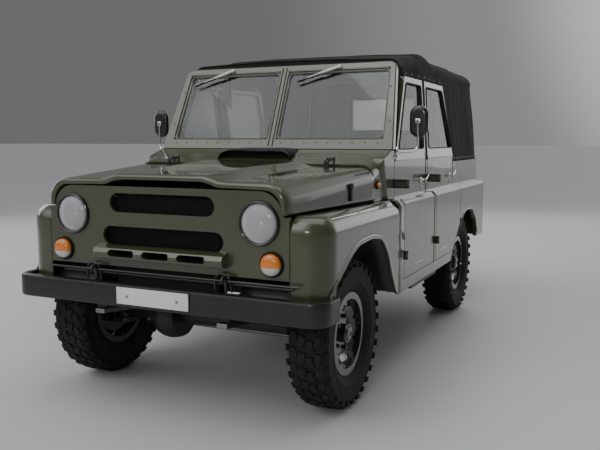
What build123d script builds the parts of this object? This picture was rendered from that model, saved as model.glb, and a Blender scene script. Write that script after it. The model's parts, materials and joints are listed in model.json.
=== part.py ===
from build123d import *
import os
from math import atan2, cos, degrees, radians, sin, tan

# A four-door soft-top field car. Front faces -Y, left side is +X, +Z is up.
# Origin: centre of the overall box, on the ground. All sizes in millimetres.

# ---- overall driving sizes ----
wheelbase = 2380
track = 1442
front_overhang = 564.5          # bumper face ahead of the front axle
rear_overhang = 730             # rear body panel behind the rear axle
spare_standoff = 145.5          # from the rear panel to the spare tyre
body_half_width = 868           # lower body wall, outside
upper_half_width = 800          # upper body wall, outside, at the belt
sill_z = 472
door_bottom_z = 546
ledge_z = 1015                  # step between lower and upper body walls
ledge_edge = 25                 # slanted outer edge of the ledge
belt_z = 1233                   # top of the lower doors
rear_belt_z = 1195              # top of the rear quarters
door_top_z = 1745
window_z0 = 1302                # side windows, bottom and top
window_z1 = 1708
roof_front_z = 1848
roof_peak_z = 1945
roof_rear_z = 1900
floor_z = 602
cargo_floor_z = 700

# ---- wheels ----
tyre_radius = 380
tyre_width = 205
rim_radius = 190
rim_half_width = 76
tyre_bead_gap = 0.3

# ---- walls and clearances ----
body_wall = 30
door_wall = 40
sheet = 12                      # mudguards, inner panels
glass_thickness = 6
canvas = 12
seat_gap = 0.3                  # pieces that rest on each other across a small gap
door_gap = 7                    # seam round a door
door_swing_gap = 17             # rear edge of an upper door wall, which swings on a wide arc
running_gap = 0.05
clear = 6

# ---- steering ----
kingpin_x = 610
kingpin_radius = 28
eye_height = 85                 # outer faces of the knuckle eyes above and below the axle
steer_arm_inset = 40
steer_arm_back = 165
spindle_radius = 30

# ---- chassis ----
rail_x = 360
rail_half = 30
rail_z0 = 505
rail_z1 = floor_z - seat_gap
axle_tube_radius = 45
diff_offset = 263
diff_radius = 140
diff_half_width = 65

overall_length = front_overhang + wheelbase + rear_overhang + spare_standoff + tyre_width
front_axle_y = front_overhang - overall_length / 2
rear_axle_y = front_axle_y + wheelbase
rear_panel_y = rear_axle_y + rear_overhang
half_track = track / 2
axle_z = tyre_radius

# ---- stations along the body, from the front axle ----
nose_y = front_axle_y - 497
front_face_y = nose_y + 12      # grille panel and mudguards, just behind the bonnet rim
bonnet_rear_y = front_axle_y + 392
cowl_front_y = bonnet_rear_y + 6
wing_rear_y = front_axle_y + 574
post_front_y = front_axle_y + 580
door_front_y = front_axle_y + 700
front_door_length = 672
pillar_width = 56
screen_base_y = front_axle_y + 688
screen_base_z = 1300
screen_top_y = front_axle_y + 923
screen_top_z = 1821
screen_depth = 50
door_rear_y = door_front_y + front_door_length
rear_door_y = door_rear_y + pillar_width
rear_door_end_y = rear_axle_y - 232
frame_end_y = rear_axle_y - 459  # upper rear corner of the rear door's window frame
hinge_setback = 12
hinge_axis_x = body_half_width + 16

bonnet_front_half = 686
bonnet_rear_half = 786
bonnet_front_z = 1160
bonnet_rear_z = 1222
seam_z = 1021                   # bottom of the bonnet sides, top of the mudguards
wing_front_y = front_axle_y - 415
wing_proud = 5                  # mudguards stand out this far past the body walls
wing_half_width = body_half_width + wing_proud
far_x = body_half_width + 200   # beyond every panel, for cutting tools
splash_x = 412                  # inner mudguard wall beside the engine
splash_z = 806
side_lean = 36 / 507            # the upper frames lean inwards

firewall_y = front_axle_y + 520
radiator_y = nose_y + 52
door_inner_x = body_half_width - door_wall - clear     # free line just inside the doors
sill_inner_x = door_inner_x - 29
tail_half = 560                 # half width of the tailgate opening
bonnet_hinge_y = cowl_front_y + 8
bonnet_hinge_z = bonnet_rear_z + 32
bonnet_hinge_x = 520
bonnet_pin_radius = 5
vent_half = 235
vent_front_y = front_axle_y + 500
vent_rear_y = front_axle_y + 632
vent_top = 16                   # scoop mouth above the scuttle
scuttle_y = front_axle_y + 640  # where the scuttle turns level, ahead of the windscreen
scuttle_z = screen_base_z - 2


# ---------------------------------------------------------------- helpers
def box(x0, x1, y0, y1, z0, z1):
    centre = Pos((x0 + x1) / 2, (y0 + y1) / 2, (z0 + z1) / 2)
    return centre * Box(x1 - x0, y1 - y0, z1 - z0)


def polygon(points):
    return Face(Wire.make_polygon([Vector(*p) for p in points], close=True))


def prism_x(yz, x0, x1):
    return Solid.extrude(polygon([(x0, y, z) for y, z in yz]), Vector(x1 - x0, 0, 0))


def prism_y(xz, y0, y1):
    return Solid.extrude(polygon([(x, y0, z) for x, z in xz]), Vector(0, y1 - y0, 0))


def prism_z(xy, z0, z1):
    return Solid.extrude(polygon([(x, y, z0) for x, y in xy]), Vector(0, 0, z1 - z0))


def rod(radius, start, end):
    a, b = Vector(*start), Vector(*end)
    plane = Plane(origin=a, z_dir=b - a)
    return Solid.make_cylinder(radius, (b - a).length, plane)


def ring(profile, x, y, z, outward=1):
    """Turned part about an axis along X; profile points are (radius, outward offset)."""
    face = polygon([(x + outward * d, y, z + r) for r, d in profile])
    return Solid.revolve(face, 360, Axis((x, y, z), (1, 0, 0)))


def mirrored(shape):
    return shape.mirror(Plane.YZ)


def both(shape):
    return [shape, mirrored(shape)]


def solids_in(shapes):
    found = []
    for shape in shapes if isinstance(shapes, (list, tuple)) else [shapes]:
        found += shape.solids()
    return found


def rounded_slot(x0, x1, z0, z1, y0, y1):
    r = (z1 - z0) / 2
    middle = box(x0 + r, x1 - r, y0, y1, z0, z1)
    ends = [rod(r, (x, y0, z0 + r), (x, y1, z0 + r)) for x in (x0 + r, x1 - r)]
    return middle + ends[0] + ends[1]


def side_x(z):
    """Outer x of the leaning upper side at height z above the belt."""
    return upper_half_width - side_lean * (z - belt_z)


def wall_profile(wall, z0, z1):
    """Section of the stepped body side, as (x, z) points, from z0 up to z1."""
    low, high, edge = body_half_width, upper_half_width, ledge_edge
    return [(low, z0), (low, ledge_z - edge), (low - edge, ledge_z), (high, ledge_z), (high, z1),
            (high - wall, z1), (high - wall, ledge_z - wall), (low - wall, ledge_z - wall),
            (low - wall, z0)]


def arch_cut(y_axle, points):
    """Opening over a wheel, through the outer side only."""
    return prism_x([(y_axle + y, z) for y, z in points], half_track - tyre_width / 2 + 22, far_x)


def screen_y(z):
    slope = (screen_top_y - screen_base_y) / (screen_top_z - screen_base_z)
    return screen_base_y + slope * (z - screen_base_z)


# ---------------------------------------------------------------- chassis
def chassis_frame():
    front = front_axle_y - 500
    rear = rear_panel_y - 40
    rails = both(box(rail_x - rail_half, rail_x + rail_half, front, rear, rail_z0, rail_z1))
    span = rail_x - rail_half
    middles = [radiator_y + 30, front_axle_y + 1150, rear_axle_y - 420, rear_axle_y + 400, rear - 30]
    frame = rails[0] + rails[1]
    for y in middles:
        frame += box(-span, span, y - 30, y + 30, rail_z0, rail_z1 - 20)
    for y in (post_front_y + 60, door_rear_y + 20, rear_door_end_y - 330):
        for sign in (1, -1):
            near, far = sorted((sign * (rail_x + rail_half), sign * (sill_inner_x - seat_gap)))
            frame += box(near, far, y - 30, y + 30, rail_z1 - 50, rail_z1)
    return frame


def leaf_springs():
    springs = []
    half, eye_z, pad = 520, rail_z0 - 24, axle_z + axle_tube_radius
    arc = [(-half, eye_z), (-half * 0.6, eye_z - 22), (-90, pad + 0.4), (90, pad + 0.4),
           (half * 0.6, eye_z - 22), (half, eye_z)]
    top = [(y, z + 24 if abs(y) < half else z + 23.6) for y, z in reversed(arc)]
    for y_axle in (front_axle_y, rear_axle_y):
        pack = prism_x([(y_axle + y, z) for y, z in arc + top], rail_x - 28, rail_x + 28)
        springs += both(pack)
    return springs


def axles():
    """Axle housings with their offset differentials; the front one ends in kingpins."""
    parts = []
    left, right = -diff_offset - diff_half_width, -diff_offset + diff_half_width
    for y, reach in ((front_axle_y, kingpin_x), (rear_axle_y, half_track - 50)):
        tube = rod(axle_tube_radius, (-reach + 20, y, axle_z), (reach - 20, y, axle_z))
        diff = Pos(-diff_offset, y, axle_z) * Sphere(diff_radius)
        nose = 1 if y == front_axle_y else -1
        snout = rod(60, (-diff_offset, y + nose * 100, axle_z), (-diff_offset, y + nose * 200, axle_z))
        slab = box(left, right, y - 200, y + 200, 0, 2 * axle_z)
        housing = tube + (diff & slab) + snout
        for sign in (1, -1):
            if y == front_axle_y:
                x = sign * reach
                housing += rod(kingpin_radius, (x, y, axle_z - eye_height), (x, y, axle_z + eye_height))
                housing += rod(38, (x, y, axle_z - 50), (x, y, axle_z + 50))
            else:
                stub = half_track + 50
                near, far = sign * (reach - 21), sign * stub
                housing += rod(spindle_radius, (near, y, axle_z), (far, y, axle_z))
        parts.append(housing)
    return parts


def knuckle(sign):
    """Steering knuckle: two eyes on the kingpin, the wheel spindle and the steering arm."""
    x, y = sign * kingpin_x, front_axle_y
    eye, eye_radius, flange = 30, 48, 60
    near, far = sorted((sign * (kingpin_x + flange), sign * (kingpin_x + 42)))
    body = box(near, far, y - eye_radius, y + eye_radius, axle_z - eye_height, axle_z + eye_height)
    for z0 in (axle_z - eye_height, axle_z + eye_height - eye):
        a, b = sorted((x, sign * (kingpin_x + flange)))
        body += rod(eye_radius, (x, y, z0), (x, y, z0 + eye))
        body += box(a, b, y - eye_radius, y + eye_radius, z0, z0 + eye)
    spindle_end = sign * (half_track + 50)
    body += rod(spindle_radius, (sign * (kingpin_x + flange), y, axle_z), (spindle_end, y, axle_z))
    arm_x = sign * (kingpin_x - steer_arm_inset)
    arm_end = y + steer_arm_back + 16
    arm = [(x - sign * 30, y + 20), (x + sign * 30, y + 20), (arm_x + sign * 16, arm_end),
           (arm_x - sign * 16, arm_end)]
    body += prism_z(arm, axle_z - eye_height, axle_z - eye_height + 18)
    bore_end = eye_height + 5
    return body - rod(kingpin_radius + running_gap, (x, y, axle_z - bore_end), (x, y, axle_z + bore_end))


def tie_rod():
    boss = 14
    y, z = front_axle_y + steer_arm_back, axle_z - eye_height - boss - seat_gap
    x = kingpin_x - steer_arm_inset
    bar = rod(12, (-x, y, z), (x, y, z))
    for sign in (1, -1):
        bar += rod(15, (sign * x, y, z - boss), (sign * x, y, z + boss))
    return bar


# ---------------------------------------------------------------- wheels
def tyre(x, y, z, outward):
    half = tyre_width / 2
    bead = rim_radius + tyre_bead_gap
    outer = [(bead, 68), (214, 68), (244, 94), (300, half), (348, half - 3), (372, half - 14),
             (tyre_radius, half - 34)]
    inner = [(352, half - 30), (330, half - 19), (250, 78), (222, 52), (bead, 50)]
    right = outer + [(tyre_radius, -(half - 34))] + [(r, -d) for r, d in reversed(outer[:-1])]
    left = [(r, -d) for r, d in reversed(inner)] + inner
    return ring(right + left, x, y, z, outward)


def rim(x, y, z, outward):
    """Pressed steel wheel with a brake drum and hub behind the disc."""
    flange = 212
    half = rim_half_width
    barrel = [(rim_radius, half - 7), (flange, half - 7), (flange, half), (rim_radius - 12, half),
              (rim_radius - 12, -half), (flange, -half), (flange, -half + 7), (rim_radius, -half + 7)]
    disc = [(49, 20), (120, 20), (150, 38), (rim_radius - 11, 30), (rim_radius - 11, 42), (146, 50),
            (114, 32), (49, 32)]
    wheel = ring(barrel, x, y, z, outward) + ring(disc, x, y, z, outward)
    for step in range(8):
        angle = radians(22.5 + 45 * step)
        cy, cz = y + 152 * cos(angle), z + 152 * sin(angle)
        wheel -= rod(15, (x - outward * 10, cy, cz), (x + outward * 60, cy, cz))
    return wheel


def hub(x, y, z, outward):
    bore = spindle_radius + running_gap
    profile = [(bore, -38), (148, -38), (148, 20), (48, 20), (48, 66), (0, 66), (0, 54), (bore, 54)]
    return ring(profile, x, y, z, outward)


wheel_places = {
    "front_left": (half_track, front_axle_y, 1),
    "front_right": (-half_track, front_axle_y, -1),
    "rear_left": (half_track, rear_axle_y, 1),
    "rear_right": (-half_track, rear_axle_y, -1),
}


# ---------------------------------------------------------------- power train
def engine_and_gearbox():
    y = front_axle_y
    engine = box(-210, 210, y - 300, y + 340, 610, 1010)
    gearbox = box(-130, 130, y + 340, y + 1090, 450, 596)
    transfer = box(-diff_offset - 60, -130, y + 940, y + 1090, 450, 596)
    case = box(-210, 210, y + 160, y + 340, 560, 610)
    lug = rail_x - rail_half - seat_gap
    mounts = box(-lug, lug, y + 700, y + 760, 520, 560)
    bell = box(-130, 130, y + 340, y + 380, 450, 700)
    return [engine + gearbox + transfer + case + bell + mounts]


def driveshafts():
    y0, y1 = front_axle_y + 200 + seat_gap, rear_axle_y - 200 - seat_gap
    case_front, case_rear = front_axle_y + 940 - seat_gap, front_axle_y + 1090 + seat_gap
    shafts = []
    for axle_end, case_end, way in ((y0, case_front, 1), (y1, case_rear, -1)):
        low, high = (-diff_offset, axle_end, axle_z), (-diff_offset, case_end, 470)
        knee = (-diff_offset, axle_end + way * 30, axle_z), (-diff_offset, case_end - way * 30, 470)
        shafts.append(rod(30, low, knee[0]) + rod(26, *knee) + rod(30, knee[1], high))
    return shafts


def radiator():
    return box(-300, 300, radiator_y, radiator_y + 60, rail_z1 - 20 + seat_gap, 1080)


def fuel_tanks():
    y0, y1 = door_rear_y - 250, rear_door_y + 330
    z1 = rail_z1 - 50 - seat_gap
    return both(box(rail_x + rail_half + clear, body_half_width - 78, y0, y1, z1 - 151, z1))


def exhaust():
    """Silencer beside the left rail, and a tail pipe that rises over the rear axle."""
    y0, y1 = front_axle_y + 700, front_axle_y + 1200
    x, z, over_z = 240, 440, 476
    silencer = rod(60, (x, y0, z), (x, y1, z))
    route = FilletPolyline((x, y1 - 40, z), (x, rear_axle_y - 250, z), (x - 30, rear_axle_y - 90, over_z),
                           (x - 30, rear_axle_y + 90, over_z), (x - 30, rear_panel_y - 90, z), radius=200)
    pipe = sweep(Plane(origin=route @ 0, z_dir=route % 0) * Circle(25), path=route)
    hanger = box(x + 18, rail_x - rail_half, y0 + 100, y0 + 140, z + 20, z + 90)
    return silencer + pipe + hanger


# ---------------------------------------------------------------- body shell
rear_arch = [(-500, 470), (-430, 545), (-344, 600), (-197, 722), (-105, 788), (6, 811), (200, 800),
             (344, 707), (404, 619), (404, 440), (-530, 440)]
front_arch = [(-480, 560), (-410, 676), (-294, 722), (-172, 811), (-74, 851), (120, 857), (275, 834),
              (382, 738), (453, 605), (549, 471), (549, 400), (-480, 400)]


def body_tub():
    """Floor, toe board, sills, door posts and inner rear wheel boxes."""
    inner = body_half_width - body_wall
    rear_inner = rear_panel_y - body_wall - clear
    step_y = rear_axle_y - 340
    floor = box(-door_inner_x, door_inner_x, firewall_y + 120, step_y, floor_z, floor_z + 25)
    floor += box(-splash_x + 30, splash_x - 30, firewall_y, firewall_y + 121, floor_z, floor_z + 25)
    cargo = box(-560, 560, step_y - 25, rear_inner, cargo_floor_z, cargo_floor_z + 25)
    riser = box(-560, 560, step_y - 25, step_y, floor_z, cargo_floor_z + 25)
    body = floor + cargo + riser
    toe_half, toe_step = bonnet_rear_half - 40, 830
    body += box(-toe_half, toe_half, firewall_y, firewall_y + 25, toe_step, 1180)
    body += box(-splash_x - 2, splash_x + 2, firewall_y, firewall_y + 25, floor_z, toe_step + 1)
    strip_front, strip_rear = door_rear_y + door_swing_gap, rear_door_y - door_gap
    post_in, post_out = upper_half_width - 100, upper_half_width - door_wall - clear
    for sign in (1, -1):
        def side_box(x0, x1, *rest):
            a, b = sorted((sign * x0, sign * x1))
            return box(a, b, *rest)

        # wheel box over each rear wheel, open below
        top = axle_z + 450
        rear_wall = rear_axle_y + 435
        box_front = rear_door_end_y + door_swing_gap
        body += side_box(tail_half, tail_half + 25, step_y - 25, rear_wall + 25, floor_z - 40, top)
        body += side_box(tail_half, door_inner_x, step_y - 25, rear_wall + 25, top, top + 25)
        body += side_box(door_inner_x - 1, inner, box_front, rear_wall + 25, top, top + 25)
        body += side_box(tail_half, door_inner_x, step_y - 25, step_y, floor_z, top)
        body += side_box(tail_half, inner, rear_wall, rear_wall + 25, floor_z - 40, top)
        body += side_box(tail_half - 1, inner - 26, rear_wall, rear_inner, cargo_floor_z, cargo_floor_z + 25)
        # toe board closing panel behind the front wheel
        body += side_box(splash_x - 30, inner, firewall_y + 95, firewall_y + 120, floor_z, toe_step)
        body += side_box(splash_x - 30, inner, firewall_y, firewall_y + 120, toe_step, toe_step + 25)
        body += side_box(splash_x - 32, splash_x + 2, firewall_y, firewall_y + 120, floor_z, toe_step + 25)
        # sill inside the doors
        sill_front, sill_rear = firewall_y + 96, rear_axle_y - 445
        body += side_box(sill_inner_x, door_inner_x, sill_front, sill_rear, sill_z + 4, floor_z + 5)
        # posts: front, between the doors, behind the rear door
        body += side_box(post_in, post_out, door_front_y - 60, door_front_y - clear, floor_z, belt_z - 6)
        body += side_box(post_in, post_out, door_rear_y - 14, rear_door_y + 14, floor_z, belt_z - 6)
        body += side_box(sill_inner_x - 30, door_inner_x, door_rear_y - 14, rear_door_y + 14,
                         floor_z, ledge_z - door_wall - clear)
        body += side_box(post_in, door_inner_x, door_rear_y - 14, rear_door_y + 14, floor_z, floor_z + 60)
        strip = strip_front, strip_rear
        body += side_box(post_out - 10, upper_half_width, *strip, ledge_z - 40, belt_z - 6)
        body += side_box(door_inner_x - 4, body_half_width, *strip, door_bottom_z - door_gap, ledge_z - 12)
        body += side_box(post_out - 10, body_half_width - 1, *strip, ledge_z - 40, ledge_z - 12)
        body += side_box(post_in, post_out, rear_door_end_y - 14, box_front, top + 24, rear_belt_z - 4)
    return body


def outer_sills():
    y0, y1 = door_front_y - door_gap + seat_gap, rear_axle_y - 440
    sill = box(door_inner_x, body_half_width - 4, y0, y1, sill_z, door_bottom_z - door_gap)
    return both(sill - arch_cut(rear_axle_y, rear_arch))


def cowl():
    """Scuttle ahead of the windscreen, with its side panels down to the front of the doors."""
    high, middle = upper_half_width, upper_half_width - 45
    t = 25
    side_end, screen_end = door_front_y - clear, screen_base_y + 30

    def scuttle(end, x0, x1):
        a, b = sorted((x0, x1))
        return prism_x([(cowl_front_y, bonnet_rear_z), (scuttle_y, scuttle_z), (end, scuttle_z),
                        (end, scuttle_z - t), (scuttle_y + 4, scuttle_z - t),
                        (cowl_front_y, bonnet_rear_z - t)], a, b)

    top = scuttle(screen_end, -middle, middle)
    for sign in (1, -1):
        top += scuttle(side_end, sign * (middle - 5), sign * high)
        a, b = sorted((sign * (high - t), sign * high))
        top += box(a, b, cowl_front_y, side_end, seam_z + 1, bonnet_rear_z - 20)
        low, high_z = bonnet_rear_z - 42, scuttle_z - 1
        top += prism_x([(cowl_front_y, low), (side_end, low), (side_end, high_z), (scuttle_y, high_z),
                        (cowl_front_y, bonnet_rear_z)], a, b)
        # stepped lower panel between mudguard and door
        panel_y = wing_rear_y + seat_gap, door_front_y - door_gap
        post = prism_y(wall_profile(body_wall, sill_z, 1100), *panel_y)
        top += post if sign == 1 else mirrored(post)
    inlet = 40, 20
    top -= box(-vent_half + inlet[0], vent_half - inlet[0], vent_front_y + inlet[1], vent_rear_y - inlet[1],
               bonnet_rear_z - 72, scuttle_z + 52)
    for sign in (1, -1):
        x = sign * bonnet_hinge_x
        y, z = bonnet_hinge_y, bonnet_hinge_z
        leaf = rod(bonnet_pin_radius, (x - 24, y, z), (x + 24, y, z))
        for x0 in (x - 24, x + 12.5):
            leaf += rod(9, (x0, y, z), (x0 + 11.5, y, z))
            leaf += box(x0, x0 + 11.5, y + 2, y + 9, bonnet_rear_z - 10, z)
        top += leaf
    return top


def cowl_vent():
    """Low air scoop on the scuttle, open to the front and down through the scuttle."""
    t = 8
    y0, y1 = vent_front_y, vent_rear_y

    def top_of_cowl(y):
        share = (y - cowl_front_y) / (scuttle_y - cowl_front_y)
        return bonnet_rear_z + share * (scuttle_z - bonnet_rear_z) + seat_gap

    lip, crown, back = scuttle_z + vent_top - 6, scuttle_z + vent_top, scuttle_z + vent_top - 9
    outer = [(y0, top_of_cowl(y0)), (y1, top_of_cowl(y1)), (y1, back), (y0 + 12, crown), (y0, lip)]
    inner = [(y0 - 1, top_of_cowl(y0) - 20), (y1 - t, top_of_cowl(y1) - 20), (y1 - t, back - t),
             (y0 + 12, crown - t), (y0 - 1, lip - t)]
    return prism_x(outer, -vent_half, vent_half) - prism_x(inner, -vent_half + t, vent_half - t)


def rear_quarters():
    """Stepped rear side panels that turn the corner to the tailgate opening."""
    y0, y1 = rear_door_end_y + door_gap, rear_panel_y
    radius = 70
    t = body_wall

    def rounded(shape, size):
        """Rounds the upright edge at the outer rear corner."""
        uprights = shape.edges().filter_by(Axis.Z)
        return fillet(uprights.sort_by(lambda e: e.center().X + e.center().Y)[-1], size)

    def corner(x_out, z0, z1):
        outer = rounded(box(tail_half, x_out, y0, y1, z0, z1), radius)
        inner = rounded(box(tail_half - 1, x_out - t, y0 - 1, y1 - t, z0 - 1, z1 + 1), radius - t)
        return outer - inner

    lower = corner(body_half_width, door_bottom_z + 6, ledge_z - t + 1)
    upper = corner(upper_half_width, ledge_z - t, rear_belt_z)
    ledge = rounded(box(upper_half_width - t, body_half_width, y0, y1, ledge_z - t, ledge_z), radius)
    brow = ledge.edges().filter_by(Axis.Y).sort_by(lambda e: e.center().X + e.center().Z)[-1]
    panel = lower + upper + chamfer(brow, ledge_edge)
    panel -= arch_cut(rear_axle_y, rear_arch)
    panel -= box(500, far_x, y0 - 1, rear_axle_y - 60, 400, 2 * axle_z)
    return both(panel)


def front_wings():
    """Mudguards: flat top, rounded front, outer skirt over the wheel and inner splash walls."""
    t = sheet
    y0, y1 = wing_front_y, wing_rear_y
    inner_front, inner_rear = bonnet_front_half + 8, bonnet_rear_half + 7
    top, y_toe = seam_z - 5, firewall_y - clear
    # outer shape: plan outline from the bonnet seam to the outer edge, with a rounded front corner
    nose, bottom = front_face_y, 560
    plan = [(inner_front, nose), (inner_front + 70, nose + 6), (wing_half_width - 30, y0 - 20),
            (wing_half_width, y0 + 30), (wing_half_width, y1), (inner_rear, y1)]
    profile = [(nose - 1, bottom), (nose - 1, top - 56), (nose + 45, top), (y1 + 1, top), (y1 + 1, bottom)]
    shell = prism_z(plan, bottom, top) & prism_x(profile, 0, far_x)
    cavity_plan = [(0, nose + t), (inner_front + 66, nose + 6 + t), (wing_half_width - 32 - t, y0 - 14 + t),
                   (wing_half_width - t, y0 + 34), (wing_half_width - t, y1 + 1), (0, y1 + 1)]
    cavity_profile = [(nose + t, bottom - 60), (nose + t, top - 61), (nose + 49, top - t), (y1 + 2, top - t),
                      (y1 + 2, bottom - 60)]
    shell -= prism_z(cavity_plan, bottom - 60, top - t) & prism_x(cavity_profile, -1, far_x)
    shell -= box(500, far_x, y0 - 100, y0 + 60, bottom - 20, bottom + 116)
    # splash walls: a shelf over the tyre and a wall beside the engine
    wing = shell + box(splash_x - t, inner_front + 6, nose + 50, y_toe, splash_z, splash_z + t)
    wing += box(splash_x - t, splash_x, nose + 120, y_toe, rail_z1 + 2, splash_z + 1)
    wing += prism_z([(inner_front - 6, nose + 50), (inner_front - 6 + t, nose + 50),
                     (inner_rear + t - 14, y_toe), (inner_rear - 14, y_toe)], splash_z, top - t / 2)
    wing += box(splash_x, wing_half_width - t / 2, front_axle_y + 400, y_toe, splash_z, splash_z + t)
    wing += box(inner_rear - 30, wing_half_width - 1, y1 - t, y1, splash_z + 56, top - t / 2)
    return both(wing - arch_cut(front_axle_y, front_arch))


headlamp = (543, 980)           # lamp centres, x and z
headlamp_radius = 104
indicator = (607, 796)
indicator_radius = 44
tail_lamp_x = 735
tail_lamp_heights = (900, 790)
bonnet_sheet = 18


def grille_panel():
    """Front panel with the slots for cooling air and the recesses for the lamps."""
    y, t = front_face_y, 24
    half = bonnet_front_half - bonnet_sheet - clear
    bottom, corner = 724, 120
    panel = box(-half, half, y, y + t, bottom, bonnet_front_z - 33)
    panel = fillet(panel.edges().filter_by(Axis.Y).group_by(Axis.Z)[-1], corner)
    side = bonnet_front_half + 8 - seat_gap
    panel += box(-side, side, y, y + t, bottom, seam_z - 9)
    panel -= rounded_slot(-305, 305, 997, 1093, y - 1, y + t + 1)
    main_slot = -352, 352, 833, 926
    panel -= rounded_slot(*main_slot, y - 1, y + t + 1)
    lip = [(y + 1, 762), (y - 52, 772), (y - 58, 800), (y - 46, 822), (y + 1, 838)]
    panel += prism_x(lip, -375, 375) - rounded_slot(*main_slot, y - 60, y + t)
    for x in (-204, 0, 204):
        panel -= rounded_slot(x - 78, x + 78, 781, 815, y - 70, y + t + 1)
    for sign in (1, -1):
        for radius, (x, z) in ((headlamp_radius, headlamp), (indicator_radius, indicator)):
            panel -= rod(radius, (sign * x, y - 1, z), (sign * x, y + t + 1, z))
    return panel


def lamps():
    """Headlamps and indicators at the front, tail lamps on the rear corners."""
    y, rear = front_face_y, rear_panel_y + seat_gap
    parts = []
    for sign in (1, -1):
        x, z = sign * headlamp[0], headlamp[1]
        shell = rod(headlamp_radius - seat_gap, (x, y - 14, z), (x, y + 18, z))
        shell += rod(headlamp_radius - 16, (x, y + 17, z), (x, y + 90, z))
        parts.append(fillet(shell.edges().filter_by(GeomType.CIRCLE).sort_by(Axis.Y)[0], 10))
        x, z = sign * indicator[0], indicator[1]
        parts.append(rod(indicator_radius - seat_gap, (x, y - 34, z), (x, y + 30, z)))
        a, b = sign * (upper_half_width + seat_gap), sign * (upper_half_width + 22)
        y_side, z = front_axle_y + 529, bonnet_rear_z - 114
        parts.append(rod(21, (a, y_side, z), (b, y_side, z)))
        x = sign * tail_lamp_x
        for z in tail_lamp_heights:
            parts.append(rod(42, (x, rear, z), (x, rear + 38, z)))
    return parts


def bonnet():
    """Bonnet top with its sides, hinged at the rear edge, and a rim round the grille panel."""
    y0, y1 = nose_y, bonnet_rear_y
    bottom = seam_z + 1

    def section(y, half, z_top, inset, bottom):
        half -= inset
        z_top -= inset
        edge = 52 - inset / 2
        right = [(half, bottom), (half, z_top - edge), (half - edge * 0.3, z_top - edge * 0.3),
                 (half - edge, z_top), (half * 0.55, z_top + 8), (half * 0.45, z_top + 26)]
        outline = right + [(-x, z) for x, z in reversed(right)]
        return Wire.make_polygon([Vector(x, y, z) for x, z in outline], close=True)

    def shell(inset, reach, bottom):
        ends = [section(y0 - reach, bonnet_front_half, bonnet_front_z, inset, bottom),
                section(y1 + reach, bonnet_rear_half, bonnet_rear_z - 14, inset, bottom)]
        return Solid.make_loft(ends, ruled=True)

    lid = shell(0, 0, bottom) - shell(bonnet_sheet, 1, bottom - 50)
    y, z = bonnet_hinge_y, bonnet_hinge_z
    foot_y = y1 - 60
    for x in (bonnet_hinge_x, -bonnet_hinge_x):
        x0, x1 = x - 12, x + 12
        lid += rod(9, (x0, y, z), (x1, y, z)) + box(x0, x1, y - 9, y - 2, z - 16, z)
        lid += box(x0, x1, foot_y, y - 2, z - 18, z - 10)
        lid += box(x0, x1, foot_y, foot_y + 20, bonnet_rear_z - 24, z - 10)
        lid -= rod(bonnet_pin_radius + running_gap, (x0 - 8, y, z), (x1 + 8, y, z))
    return lid


def windscreen_parts():
    """Raked windscreen frame with two panes, leaning back from the scuttle."""
    rake = degrees(atan2(screen_top_y - screen_base_y, screen_top_z - screen_base_z))
    slope = cos(radians(rake))
    height = (screen_top_z - screen_base_z) / slope
    bottom_half, top_half = upper_half_width, upper_half_width - 61
    foot = 60                                 # the frame runs on below its base line, then is cut level
    reach = foot * (bottom_half - top_half) / height
    d, g = screen_depth / 2, seat_gap
    foot_half = bottom_half + reach
    outline = [(-foot_half, -foot), (foot_half, -foot), (top_half, height), (-top_half, height)]
    frame = prism_y(outline, -d, d)
    frame = fillet(frame.edges().filter_by(Axis.Y).group_by(Axis.Z)[-1], 45)
    low, high = 55 / slope, height - 42 / slope
    inside, wide, narrow = 30, bottom_half - 70, top_half - 33
    panes = []
    for sign in (1, -1):
        hole = [(sign * inside, low), (sign * wide, low), (sign * narrow, high), (sign * inside, high)]
        frame -= prism_y(hole, -d - 1, d + 1)
        pane = [(sign * (inside + g), low + g), (sign * (wide - g), low + g), (sign * (narrow - g), high - g),
                (sign * (inside + g), high - g)]
        panes.append(prism_y(pane, -glass_thickness / 2, glass_thickness / 2))
    place = Pos(0, screen_base_y, screen_base_z) * Rot(-rake, 0, 0)
    below = box(-far_x, far_x, screen_base_y - 200, screen_base_y + 200, scuttle_z - 400, scuttle_z)
    return place * frame - below, [place * pane for pane in panes], place, height


def wipers():
    """Two wiper arms hung from the top rail of the windscreen."""
    place, height = windscreen_place, windscreen_height
    y = -screen_depth / 2 - seat_gap
    arms = []
    for x, tip in ((-380, -600), (380, 160)):
        motor = place * box(x - 14, x + 14, y - 22, y, height - 44, height - 14)
        arm = place * box(min(x, tip), max(x, tip), y - 20, y - 12, height - 40, height - 24)
        arms.append(motor + arm)
    return arms


# ---------------------------------------------------------------- doors
hinge_barrel_radius = 11
hinge_pin_radius = 5


def hinge_door_leaf(y, z, wall_x):
    """Middle barrel of a hinge with its arm to the door wall."""
    x, base = hinge_axis_x, wall_x + seat_gap
    leaf = rod(hinge_barrel_radius, (x, y, z - 12), (x, y, z + 12))
    leaf += box(base, x, y + 1, y + 9, z - 12, z + 12)
    leaf += box(base, base + 6, y + 13, y + 50, z - 24, z + 24)
    leaf += box(base, base + 6, y + 1, y + 14, z - 12, z + 12)
    return leaf - rod(hinge_pin_radius + running_gap, (x, y, z - 30), (x, y, z + 30))


def hinge_body_leaf(y, z, wall_x):
    """Upper and lower barrels on their pin, with an arm to the body."""
    x, base, reach, eye = hinge_axis_x, wall_x + seat_gap, 26, 13.5
    leaf = rod(hinge_pin_radius, (x, y, z - reach), (x, y, z + reach))
    for z0 in (z - reach, z + reach - eye):
        leaf += rod(hinge_barrel_radius, (x, y, z0), (x, y, z0 + eye))
        leaf += box(base, x, y - 9, y - 1, z0, z0 + eye)
    return leaf + box(base, base + 6, y - 12, y - 6, z - reach, z + reach)


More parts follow.
